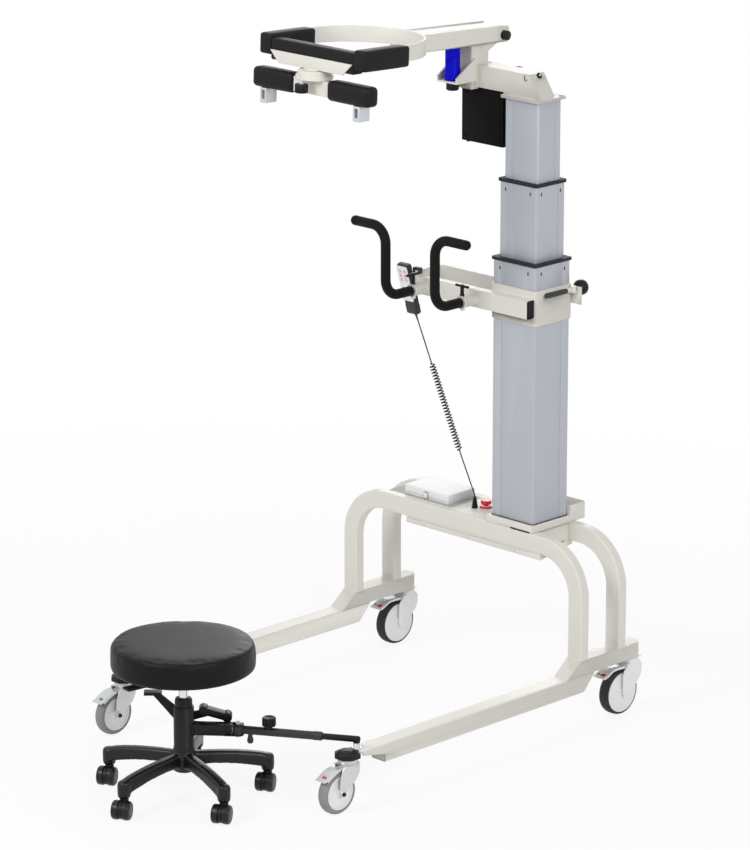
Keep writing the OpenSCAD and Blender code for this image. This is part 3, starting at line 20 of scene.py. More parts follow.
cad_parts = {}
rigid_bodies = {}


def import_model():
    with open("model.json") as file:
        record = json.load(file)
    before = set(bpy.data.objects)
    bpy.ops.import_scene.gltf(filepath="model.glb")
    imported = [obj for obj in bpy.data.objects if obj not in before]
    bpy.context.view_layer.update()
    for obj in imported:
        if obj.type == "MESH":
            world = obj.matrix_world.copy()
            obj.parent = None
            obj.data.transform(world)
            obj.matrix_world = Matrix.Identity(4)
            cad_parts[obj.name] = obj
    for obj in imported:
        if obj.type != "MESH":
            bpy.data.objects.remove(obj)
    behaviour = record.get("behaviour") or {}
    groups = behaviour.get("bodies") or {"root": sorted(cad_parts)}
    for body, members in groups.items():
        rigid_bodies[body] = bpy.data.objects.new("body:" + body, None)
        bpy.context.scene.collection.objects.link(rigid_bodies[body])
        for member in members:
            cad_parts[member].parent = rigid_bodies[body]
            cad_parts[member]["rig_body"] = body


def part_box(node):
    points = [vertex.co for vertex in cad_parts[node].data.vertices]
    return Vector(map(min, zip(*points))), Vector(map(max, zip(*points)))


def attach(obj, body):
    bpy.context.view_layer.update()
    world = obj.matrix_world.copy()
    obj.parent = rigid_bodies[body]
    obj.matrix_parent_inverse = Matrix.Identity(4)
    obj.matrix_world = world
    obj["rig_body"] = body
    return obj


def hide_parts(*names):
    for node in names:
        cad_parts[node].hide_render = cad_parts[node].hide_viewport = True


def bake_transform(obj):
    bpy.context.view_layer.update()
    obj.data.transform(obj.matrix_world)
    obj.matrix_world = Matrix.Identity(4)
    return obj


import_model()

LOG = logging.getLogger("gait_support")
MM = 0.001
Point = Sequence[float]
Flat = Sequence[tuple[float, float]]
RAIL_X = 425
FRONT_Y = -300
REAR_Y = 778
SIDES = (("left", -1), ("right", 1))
MERGE_GAP = 1e-4


class Grain(Enum):
    """How a finish looks close up: stretch of the pattern, its scale per metre and its cells."""

    PEEL = ((1, 1, 1), 420.0, False)
    BRUSHED = ((1, 1, 0.012), 900.0, False)
    PEBBLE = ((1, 1, 1), 620.0, True)
    FOAM = ((1, 1, 1), 1300.0, True)
    MOULDED = ((1, 1, 1), 900.0, False)
    PLATED = ((1, 1, 1), 70.0, True)
    ALONG_X = ((0.02, 1, 1), 700.0, False)


@dataclass(frozen=True)
class Wire:
    """An output of a shader node that takes part in Python arithmetic."""

    net: Net
    socket: bpy.types.NodeSocket

    def _maths(self, operation: str, first: object, second: object) -> Wire:
        """Returns the result of one Math node."""
        return self.net.node("Math", {"operation": operation}, {0: first, 1: second})

    def __add__(self, other: object) -> Wire:
        """Returns self + other."""
        return self._maths("ADD", self, other)

    def __sub__(self, other: object) -> Wire:
        """Returns self - other."""
        return self._maths("SUBTRACT", self, other)

    def __mul__(self, other: object) -> Wire:
        """Returns self * other."""
        return self._maths("MULTIPLY", self, other)

    def __radd__(self, other: object) -> Wire:
        """Returns other + self."""
        return self._maths("ADD", other, self)

    def __rmul__(self, other: object) -> Wire:
        """Returns other * self."""
        return self._maths("MULTIPLY", other, self)


@dataclass
class Net:
    """The node tree of one material."""

    tree: bpy.types.NodeTree

    def node(self, kind: str, settings: dict | None = None, sockets: dict | None = None, output: int | str = 0) -> Wire:
        """Adds a node.

        Args:
            kind: the shader node's type.
            settings: its properties, such as a Math node's operation.
            sockets: values or wires for its inputs, by name or place.
            output: which output comes back.

        Returns:
            The output as a wire.
        """
        made = self.tree.nodes.new("ShaderNode" + kind)
        for name, value in (settings or {}).items():
            setattr(made, name, value)
        for name, value in (sockets or {}).items():
            if isinstance(value, Wire):
                self.tree.links.new(value.socket, made.inputs[name])
            else:
                made.inputs[name].default_value = value
        return Wire(self, made.outputs[output])

    def mix(self, share: object, low: object, high: object) -> Wire:
        """Returns a colour between two others."""
        return self.node("Mix", {"data_type": "RGBA"}, {0: share, 6: low, 7: high}, 2)

    def clamped(self, value: Wire, factor: float, offset: float) -> Wire:
        """Returns value * factor + offset, held between 0 and 1."""
        return self.node("Math", {"operation": "MULTIPLY_ADD", "use_clamp": True}, {0: value, 1: factor, 2: offset})

    def close(self, kind: str, result: Wire) -> None:
        """Leads a result to the tree's output node."""
        out = self.tree.nodes.new("ShaderNode" + kind)
        self.tree.links.new(result.socket, out.inputs["Surface"])


def cleared(owner: bpy.types.Material | bpy.types.World) -> Net:
    """Returns the node tree of a material or a world, emptied."""
    owner.use_nodes = True
    owner.node_tree.nodes.clear()
    return Net(owner.node_tree)


def added(name: str, data: bpy.types.ID) -> bpy.types.Object:
    """Returns a new object in the scene that shows some data."""
    made = bpy.data.objects.new(name, data)
    bpy.context.scene.collection.objects.link(made)
    return made


def linear(color: Point) -> tuple[float, float, float, float]:
    """Returns a display colour of 0 to 255 as linear light with an alpha of 1."""
    parts = [c / 255 for c in color]
    return (*[c / 12.92 if c <= 0.04045 else ((c + 0.055) / 1.055) ** 2.4 for c in parts], 1.0)


def shaded(color: Point, rule: Callable[[float], float]) -> tuple[float, ...]:
    """Returns a linear colour with each channel changed by a rule, and an alpha of 1."""
    return tuple(rule(c) for c in color[:3]) + (1.0,)


@dataclass(frozen=True)
class Finish:
    """One finish of the object's surfaces, as a procedural material."""

    name: str
    slot: str
    color: tuple[int, int, int]
    rough: float
    grain: Grain = Grain.MOULDED
    metal: float = 0.0
    coat: float = 0.0
    sheen: float = 0.0
    relief: float = 0.1
    depth: float = 0.00012
    tint: float = 0.05
    dust: float = 0.0
    shine: float = 0.5

    def material(self) -> bpy.types.Material:
        """Returns the finish's material, which is made once."""
        made = bpy.data.materials.get(self.name)
        if made:
            return made
        made = bpy.data.materials.new(self.name)
        net = cleared(made)
        stretch, scale, cells = self.grain.value
        place = net.node("TexCoord", output="Object")
        fitted = net.node("Mapping", {}, {"Vector": place, "Scale": stretch})
        fine = net.node("TexNoise", {}, {"Vector": fitted, "Scale": scale, "Detail": 3.0, "Roughness": 0.6})
        if cells:
            cell = net.node("TexVoronoi", {"feature": "SMOOTH_F1"}, {"Vector": fitted, "Scale": scale})
            fine = 0.35 * fine + 0.65 * cell
        cloud = net.node("TexNoise", {}, {"Vector": place, "Scale": 5.0, "Detail": 4.0, "Roughness": 0.55})
        patch = net.node("TexNoise", {}, {"Vector": place, "Scale": 38.0, "Detail": 5.0, "Roughness": 0.65})
        base = linear(self.color)
        low, high = (shaded(base, lambda c: min(1.0, c * k)) for k in (1 - self.tint, 1 + self.tint))
        mixed = net.mix(0.6 * cloud + 0.4 * fine, low, high)
        if self.dust:
            worn = net.clamped(patch, 5.0, -2.7)
            mixed = net.mix(self.dust * worn, mixed, shaded(base, lambda c: c + (0.42 - c) * 0.5))
        rough = self.rough + 0.10 * (patch - 0.5) + 0.06 * (fine - 0.5)
        bump = net.node("Bump", {}, {"Height": fine, "Strength": self.relief, "Distance": self.depth})
        shader = net.node("BsdfPrincipled", {}, {
            "Base Color": mixed, "Roughness": rough, "Metallic": self.metal, "Coat Weight": self.coat,
            "Coat Roughness": 0.12, "Sheen Weight": self.sheen, "Specular IOR Level": self.shine, "Normal": bump})
        net.close("OutputMaterial", shader)
        return made


CREAM = Finish("cream_powder_coat", "cream_paint", (226, 223, 215), 0.42, Grain.PEEL, relief=0.08, tint=0.015)
# Grey that paints shade on the deck sheet and on the column foot's upward faces, and a shade line under the deck's lip;
# it also marks the seam of the battery lid.
GREY_SHADE_AND_SEAM = Finish("grey_deck_shade_and_seam", "grey_paint", (176, 177, 174), 0.6, Grain.PEEL, relief=0.25, tint=0.04)
ANODISED = Finish("anodised_column", "anodised", (186, 190, 198), 0.42, Grain.BRUSHED, metal=0.15, relief=0.06,
                  tint=0.03)
ZINC = Finish("zinc_plated_steel", "steel", (214, 215, 216), 0.32, Grain.PLATED, metal=0.5, relief=0.04, tint=0.06)
CHROME = Finish("chromed_piston", "steel", (225, 226, 228), 0.12, Grain.PLATED, metal=1.0, relief=0.01, tint=0.02)
ALUMINIUM = Finish("milled_aluminium", "steel", (205, 208, 212), 0.36, Grain.ALONG_X, metal=0.6, relief=0.06, tint=0.04)
WHITE = Finish("white_gloss_moulding", "white_plastic", (240, 240, 240), 0.28, coat=0.2, relief=0.03, tint=0.01)
BOX_WHITE = Finish("white_satin_moulding", "white_plastic", (238, 238, 237), 0.45, relief=0.06, tint=0.01)
BLACK = Finish("black_moulding", "black_plastic", (17, 17, 18), 0.42, relief=0.1, tint=0.12, shine=0.22)
SATIN = Finish("satin_black_panel", "black_plastic", (8, 8, 8), 0.5, relief=0.06, tint=0.1, shine=0.08)
NYLON = Finish("glossy_black_nylon", "black_plastic", (17, 18, 19), 0.34, coat=0.04, relief=0.06, tint=0.12, shine=0.3)
GREY = Finish("dark_grey_moulding", "grey_plastic", (52, 53, 56), 0.5, relief=0.12, tint=0.06, shine=0.3)
RED = Finish("red_moulding", "red_plastic", (222, 34, 40), 0.32, coat=0.3, relief=0.03, tint=0.03)
SLEEVE = Finish("dark_grey_sleeve", "black_paint", (44, 45, 47), 0.42, Grain.PEEL, relief=0.14, tint=0.1, shine=0.35)
GREEN = Finish("green_moulding", "white_plastic", (60, 160, 90), 0.4, relief=0.03, tint=0.03)
MAGENTA = Finish("magenta_print", "magenta_print", (196, 60, 130), 0.5, relief=0.03, tint=0.04)
BLUE = Finish("blue_elastomer", "blue_rubber", (0, 0, 202), 0.5, relief=0.05, tint=0.05, shine=0.12)
PAD = Finish("skinned_foam", "foam_pad", (14, 14, 15), 0.52, Grain.PEBBLE, sheen=0.01, shine=0.2, relief=0.22,
             depth=0.0003, tint=0.14)
GRIP = Finish("foam_grip", "foam_pad", (10, 10, 11), 0.68, Grain.FOAM, sheen=0.01, shine=0.16, relief=0.3, depth=0.0002,
              tint=0.2)
VINYL = Finish("upholstery_vinyl", "black_vinyl", (11, 11, 12), 0.46, Grain.PEBBLE, coat=0.01, shine=0.17, relief=0.2,
               depth=0.0003, tint=0.12)
GREY_TYRE = Finish("grey_tread", "grey_tyre", (140, 141, 142), 0.62, Grain.PEEL, relief=0.2, tint=0.06, dust=0.25)
BLACK_TYRE = Finish("black_tread", "black_tyre", (46, 46, 48), 0.66, Grain.PEEL, relief=0.25, tint=0.1, dust=0.1,
                    shine=0.3)
JACKET = Finish("cable_jacket", "cable", (20, 20, 21), 0.42, relief=0.08, tint=0.1, shine=0.24)
BLACK_PAINT = Finish("black_powder_coat", "black_paint", (18, 18, 19), 0.4, Grain.PEEL, relief=0.14, tint=0.12,
                     shine=0.26)
WIPER = Finish("wiper_rubber", "black_plastic", (28, 28, 31), 0.6, Grain.PEEL, relief=0.15, tint=0.1, shine=0.3)


def rounded(w: float, h: float, r: float, steps: int = 5,
            at: tuple[float, float] = (0, 0)) -> list[tuple[float, float]]:
    """Returns the outline of a rectangle with round corners, counter-clockwise."""
    points = []
    for k, (sx, sy) in enumerate(((1, 1), (-1, 1), (-1, -1), (1, -1))):
        for i in range(steps + 1):
            a = math.pi / 2 * (k + i / steps)
            points.append((at[0] + sx * (w / 2 - r) + r * math.cos(a), at[1] + sy * (h / 2 - r) + r * math.sin(a)))
    return points


def ring(r: float, steps: int = 24, at: tuple[float, float] = (0, 0)) -> list[tuple[float, float]]:
    """Returns the outline of a circle."""
    return [(at[0] + r * math.cos(2 * math.pi * i / steps), at[1] + r * math.sin(2 * math.pi * i / steps))
            for i in range(steps)]


def upright(axis: Point, at: Point = (0, 0, 0), spin: float = 0.0) -> Matrix:
    """Returns the placement that stands +Z along an axis at a point, after a spin in degrees about it."""
    turn = Vector((0, 0, 1)).rotation_difference(Vector(axis)).to_matrix().to_4x4()
    return Matrix.Translation(Vector(at)) @ turn @ Matrix.Rotation(math.radians(spin), 4, "Z")


def quarter(axis: str) -> Matrix:
    """Returns a turn of 90 degrees about a main axis."""
    return Matrix.Rotation(math.pi / 2, 4, axis)


def about(axis: str, degrees: float, at: Point) -> Matrix:
    """Returns a turn about a line through a point, parallel to a main axis."""
    move = Matrix.Translation(Vector(at))
    return move @ Matrix.Rotation(math.radians(degrees), 4, axis) @ move.inverted()


def shifted(x: float, y: float, z: float) -> Matrix:
    """Returns a move."""
    return Matrix.Translation((x, y, z))


class Form:
    """A mesh under way, in millimetres, that bmesh operators shape."""

    def __init__(self) -> None:
        """Starts with nothing."""
        self.bm = bmesh.new()

    def __iadd__(self, other: Form) -> Form:
        """Takes in another form."""
        spare = other.mesh("spare")
        self.bm.from_mesh(spare)
        bpy.data.meshes.remove(spare)
        return self

    def mesh(self, name: str) -> bpy.types.Mesh:
        """Returns a new mesh of the form."""
        made = bpy.data.meshes.new(name)
        self.bm.to_mesh(made)
        return made

    def put(self, place: Matrix | None) -> Form:
        """Places the form, or leaves it where it is."""
        if place:
            bmesh.ops.transform(self.bm, matrix=place, verts=self.bm.verts)
            if place.determinant() < 0:
                bmesh.ops.reverse_faces(self.bm, faces=self.bm.faces)
        return self

    def scaled(self, factor: float) -> Form:
        """Changes the form's size about the origin."""
        bmesh.ops.scale(self.bm, vec=(factor,) * 3, verts=self.bm.verts)
        return self

    def outward(self) -> Form:
        """Turns all faces outwards."""
        bmesh.ops.recalc_face_normals(self.bm, faces=self.bm.faces)
        return self

    def skin(self, index: int, where: Callable[[Vector, Vector], bool] | None = None) -> Form:
        """Gives faces a finish.

        Args:
            index: the finish's place in the piece's list.
            where: a test of a face's centre and normal; all faces without it.
        """
        for face in self.bm.faces:
            if where is None or where(face.calc_center_median(), face.normal):
                face.material_index = index
        return self

    def soften(self, width: float, segments: int = 2, angle: float = 35,
               where: Callable[[Vector], bool] | None = None) -> Form:
        """Rounds the edges that are sharper than an angle.

        Args:
            width: how far back the rounding starts.
            segments: the number of steps over an edge.
            angle: the least angle of an edge, in degrees.
            where: a test of the edge's middle.
        """
        limit = math.radians(angle)
        edges = [e for e in self.bm.edges if len(e.link_faces) == 2 and e.calc_face_angle(0) > limit
                 and (where is None or where((e.verts[0].co + e.verts[1].co) / 2))]
        if edges:
            bmesh.ops.bevel(self.bm, geom=edges, offset=width, offset_type="OFFSET", segments=segments, profile=0.5,
                            affect="EDGES", clamp_overlap=True, material=-1)
        return self

    def shape(self, move: Callable[[Vector], Vector]) -> Form:
        """Moves every point by a rule."""
        for vert in self.bm.verts:
            vert.co = move(vert.co)
        return self

    def done(self, name: str, body: str, finishes: Sequence[Finish], replaces: Iterable[str] = (),
             smooth: float = 38) -> bpy.types.Object:
        """Turns the form into a finished piece of the scene.

        Args:
            name: the piece's name.
            body: the body that it rides on.
            finishes: its finishes, by the faces' index.
            replaces: the CAD nodes that it stands for.
            smooth: edges sharper than this many degrees stay sharp in shading.

        Returns:
            The object.
        """
        self.scaled(MM).bm.normal_update()
        mesh = self.mesh(name)
        self.bm.free()
        for finish in finishes:
            mesh.materials.append(finish.material())
        mesh.polygons.foreach_set("use_smooth", [True] * len(mesh.polygons))
        mesh.set_sharp_from_angle(angle=math.radians(smooth))
        piece = added(name, mesh)
        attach(piece, body)
        if replaces:
            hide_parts(*replaces)
        LOG.info("%s: %d faces on %s", name, len(mesh.polygons), body)
        return piece


def block(low: Point, high: Point, edge: float = 0.0, skin: int = 0, segments: int = 2) -> Form:
    """Returns a box between two corners with rounded edges."""
    form = Form()
    bmesh.ops.create_cube(form.bm, size=1)
    a, b = Vector(low), Vector(high)
    form.put(Matrix.Translation((a + b) / 2) @ Matrix.Diagonal((*(b - a), 1)))
    if edge:
        form.soften(edge, segments)
    return form.skin(skin)


def slab(outline: Flat, z0: float, z1: float, edge: float = 0.0, skin: int = 0, segments: int = 2,
         place: Matrix | None = None) -> Form:
    """Returns an outline in X-Y drawn out between two heights, with rounded rims, then placed."""
    form = Form()
    face = form.bm.faces.new([form.bm.verts.new((x, y, z0)) for x, y in outline])
    drawn = bmesh.ops.extrude_face_region(form.bm, geom=[face])
    tops = [v for v in drawn["geom"] if isinstance(v, bmesh.types.BMVert)]
    bmesh.ops.translate(form.bm, vec=(0, 0, z1 - z0), verts=tops)
    form.outward()
    if edge:
        form.soften(edge, segments)
    return form.skin(skin).put(place)


def turned(profile: Flat, place: Matrix | None = None, skin: int = 0, steps: int = 40) -> Form:
    """Returns a profile of radius and height turned about Z, then placed."""
    form = Form()
    profile = list(profile)
    if profile[0] != profile[-1]:
        profile = [(0, profile[0][1])] * (profile[0][0] > 0) + profile + [(0, profile[-1][1])] * (profile[-1][0] > 0)
    verts = [form.bm.verts.new((r, 0, z)) for r, z in profile]
    edges = [form.bm.edges.new(pair) for pair in zip(verts, verts[1:])]
    bmesh.ops.spin(form.bm, geom=verts + edges, cent=(0, 0, 0), axis=(0, 0, 1), angle=2 * math.pi, steps=steps,
                   use_merge=True, use_duplicate=False)
    bmesh.ops.remove_doubles(form.bm, verts=form.bm.verts, dist=MERGE_GAP)
    form.outward()
    return form.skin(skin).put(place)


def rod(r: float, low: float, high: float, place: Matrix | None = None, skin: int = 0, steps: int = 40) -> Form:
    """Returns a plain cylinder about Z between two heights, then placed."""
    return turned([(0, low), (r, low), (r, high), (0, high)], place, skin, steps)


def mirrored(half: Flat, axis: int = 1) -> list[tuple[float, float]]:
    """Returns the first half of an outline and its mirror image, with X (0) or Y (1) changed in sign."""
    return [*half, *((-x, y) if axis == 0 else (x, -y) for x, y in reversed(half))]


def frames_along(path: Sequence[Point], up: Point = (0, 0, 1)) -> list[Matrix]:
    """Returns a placement at each point of a path, +Z along it, carried on without twist."""
    points = [Vector(p) for p in path]
    side = None
    frames = []
    for i, point in enumerate(points):
        ahead = (points[min(i + 1, len(points) - 1)] - points[max(i - 1, 0)]).normalized()
        if side is None:
            side = Vector(up).cross(ahead)
            if side.length < 1e-3:
                side = Vector((1, 0, 0)).cross(ahead)
        side = (side - ahead * side.dot(ahead)).normalized()
        turn = Matrix((side, ahead.cross(side), ahead)).transposed().to_4x4()
        frames.append(Matrix.Translation(point) @ turn)
    return frames


def swept(outline: Flat, path: Sequence[Point], skin: int = 0, up: Point = (0, 0, 1),
          sizes: Sequence[tuple[float, float]] | None = None, capped: bool = True) -> Form:
    """Returns an outline carried along a path.

    Args:
        outline: the section, counter-clockwise, X to the side and Y up.
        path: the points that its middle follows.
        skin: the finish's index.
        up: the direction that the section's Y leans towards.
        sizes: the section's width and height factors at each point.
        capped: whether the ends are closed.
    """
    form = Form()
    frames = frames_along(path, up)
    factors = sizes or [(1, 1)] * len(frames)
    places = [f @ Matrix.Diagonal((sx, sy, 1, 1)) for f, (sx, sy) in zip(frames, factors)]
    verts = [form.bm.verts.new(places[0] @ Vector((x, y, 0))) for x, y in outline]
    edges = [form.bm.edges.new((a, b)) for a, b in zip(verts, verts[1:] + verts[:1])]
    first = edges
    for before, after in zip(places, places[1:]):
        grown = bmesh.ops.extrude_edge_only(form.bm, edges=edges)["geom"]
        verts = [g for g in grown if isinstance(g, bmesh.types.BMVert)]
        edges = [g for g in grown if isinstance(g, bmesh.types.BMEdge)]
        bmesh.ops.transform(form.bm, matrix=after @ before.inverted(), verts=verts)
    if capped:
        bmesh.ops.contextual_create(form.bm, geom=first)
        bmesh.ops.contextual_create(form.bm, geom=edges)
    form.outward()
    return form.skin(skin)


def bend(start: Point, corner: Point, finish: Point, radius: float, steps: int = 8) -> list[Vector]:
    """Returns the points of a round bend at a corner between two straight runs."""
    a, c, b = Vector(start), Vector(corner), Vector(finish)
    u, v = (a - c).normalized(), (b - c).normalized()
    half = u.angle(v) / 2
    back = radius / math.tan(half)
    middle = c + (u + v).normalized() * (radius / math.sin(half))
    first, last = c + u * back - middle, c + v * back - middle
    return [middle + first.slerp(last, i / steps) * radius for i in range(steps + 1)]


def routed(corners: Sequence[Point], radius: float, steps: int = 8) -> list[Vector]:
    """Returns a path through corners, with a round bend at each inner one."""
    points = [Vector(corners[0])]
    for a, c, b in zip(corners, corners[1:], corners[2:]):
        points += bend(a, c, b, radius, steps)
    return points + [Vector(corners[-1])]


def from_frame(node: str, width: float = 0.8, angle: float = 35, segments: int = 2) -> Form:
    """Returns a merged copy of a CAD node with its sharp edges eased, in millimetres."""
    form = Form()
    form.bm.from_mesh(bpy.data.objects[node].data)
    form.scaled(1 / MM)
    bmesh.ops.remove_doubles(form.bm, verts=form.bm.verts, dist=0.002)
    bmesh.ops.dissolve_limit(form.bm, angle_limit=math.radians(0.4), use_dissolve_boundaries=False,
                             verts=form.bm.verts, edges=form.bm.edges, delimit=set())
    form.skin(0)
    return form.soften(width, segments, angle) if width else form


def stretched(piece: bpy.types.Object, start: Point, end: Point) -> None:
    """Takes a piece off its body and bakes its placement into its mesh."""
    piece.parent = None
    del piece["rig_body"]
    [c * MM for c in start]
    [c * MM for c in end]
    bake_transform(piece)


def knob(d: float, h: float, lobes: int = 10, skin: int = 0) -> Form:
    """Returns a knob with finger flats round its rim and a dished top, standing on z = 0."""
    steps = lobes * 8
    r = d / 2
    form = turned([(0, 0), (r * 0.5, 0), (r * 0.94, 0.6), (r, 2.2), (r, h - 3.4), (r * 0.96, h - 1.2), (r * 0.86, h),
                   (r * 0.6, h - 0.6), (r * 0.45, h - 1.8), (0, h - 2.0)], steps=steps, skin=skin)

    def flute(co: Vector) -> Vector:
        """Presses the rim in between the lobes."""
        reach = math.hypot(co.x, co.y)
        if reach < r * 0.9:
            return co
        wave = 0.5 + 0.5 * math.cos(lobes * math.atan2(co.y, co.x))
        return Vector((co.x * (1 - 0.12 * wave ** 2), co.y * (1 - 0.12 * wave ** 2), co.z))

    return form.shape(flute)


def hexagon(d: float, h: float, skin: int = 0) -> Form:
    """Returns a hexagon head with a chamfered top, standing on z = 0."""
    form = slab(ring(d / 2, 6), 0, h, skin=skin)
    return form.soften(0.8, 1, where=lambda middle: middle.z > h - 0.1)


def screw(d: float, h: float, skin: int = 0) -> Form:
    """Returns a round screw head with a hexagon socket, standing on z = 0."""
    r = d / 2
    profile = [(0, h * 0.35), (r * 0.4, h * 0.35), (r * 0.48, h), (r * 0.8, h), (r, h * 0.7), (r, 0)]
    return turned(profile, steps=18, skin=skin)


def weld(path: Sequence[Point], d: float = 5.0, skin: int = 0) -> Form:
    """Returns a weld bead along a path, with the ripple that its passes leave."""
    points = [Vector(p) for p in path]
    fine = [a.lerp(b, k / n) for a, b in zip(points, points[1:]) for n in [max(1, round((b - a).length / 1.6))]
            for k in range(n)] + [points[-1]]
    swell = [(1 + 0.16 * math.sin(i * 1.5), 1 + 0.16 * math.sin(i * 1.5)) for i in range(len(fine))]
    return swept(ring(d / 2, 8), fine, skin=skin, sizes=swell)


@dataclass
class Chassis:
    """Side rails and arches of rectangular tube, welded and powder coated."""

    stool_pin_y: float = -268
    cap_r: float = 34
    cap_z: tuple[float, float] = (140, 159)
    octagon_r: float = 36
    post_r: float = 12.6
    post_top: float = 174
    squash: float = 0.12
    tube_w: float = 46
    plug_z: float = 118
    leg_top: float = 155
    raised_top: float = 197
    slope_y: float = 504
    rear_y: float = 800
    arch_ys: tuple[float, float] = (571, 721)
    arch_w: float = 50
    arch_d: float = 30

    def build(self) -> None:
        """Builds the rails and the arches."""
        for side, s in SIDES:
            self.rail(side, s * RAIL_X)
        arches = from_frame("arch_frame", 0.8)
        for x in (-RAIL_X, RAIL_X):
            for y in self.arch_ys:
                loop = [(x + a, y + b, self.raised_top) for a, b in rounded(self.arch_w, self.arch_d, 4)]
                arches += weld(loop + loop[:1], 3.2)
        arches.done("bent_tube_arches", "base_frame", [CREAM], ["arch_frame"])

    def rail(self, side: str, x: float) -> None:
        """Builds one side rail with the cover of its front stem."""
        form = from_frame(f"side_rail_{side}", 0.7)
        low, high = self.cap_z
        form.skin(1, lambda c, n: math.hypot(c.x - x, c.y - FRONT_Y) < self.cap_r and low < c.z < high
                  and not (abs(c.z - self.leg_top) < 0.2 and n.z > 0.5))
        if side == "right":
            top = self.post_top

            def away(point: Vector) -> float:
                """Returns how far a point is from the middle of the stool's post."""
                return math.hypot(point.x - x, point.y - self.stool_pin_y)

            def flat(co: Vector) -> Vector:
                """Presses what rises above the post's top down onto it."""
                return Vector((co.x, co.y, top + (co.z - top) * self.squash)) if co.z > top and away(co) < 20 else co

            form.skin(2, lambda c, n: away(c) < self.post_r and c.z > self.leg_top + 0.05)
            form.shape(flat)
        corners = [math.pi / 8 + math.pi / 4 * k for k in range(8)]
        outline = [(self.octagon_r * math.cos(a), self.octagon_r * math.sin(a)) for a in corners]
        form += swept(outline, [(x, FRONT_Y, z) for z in (140.6, 143, 152.6, 157.6, 159.4)], 3,
                      sizes=[(0.9, 0.9), (1, 1), (1, 1), (0.72, 0.72), (0.6, 0.6)])
        plug = Matrix(((1, 0, 0, x), (0, 0, 1, 0), (0, 1, 0, self.plug_z), (0, 0, 0, 1)))
        form += slab(rounded(43, 21, 6), -187.4, -185, place=plug)
        form += weld([(x - 21, self.slope_y, self.leg_top), (x + 21, self.slope_y, self.leg_top)], 2.6)
        for edge in (-1, 1):
            side_x = x + edge * self.tube_w / 2
            form += weld([(side_x, self.slope_y + 4, self.leg_top), (side_x, self.rear_y, self.leg_top)], 2.4)
        form.done(f"{side}_side_rail", "base_frame", [CREAM, BLACK, ZINC, BLACK], [f"side_rail_{side}"])


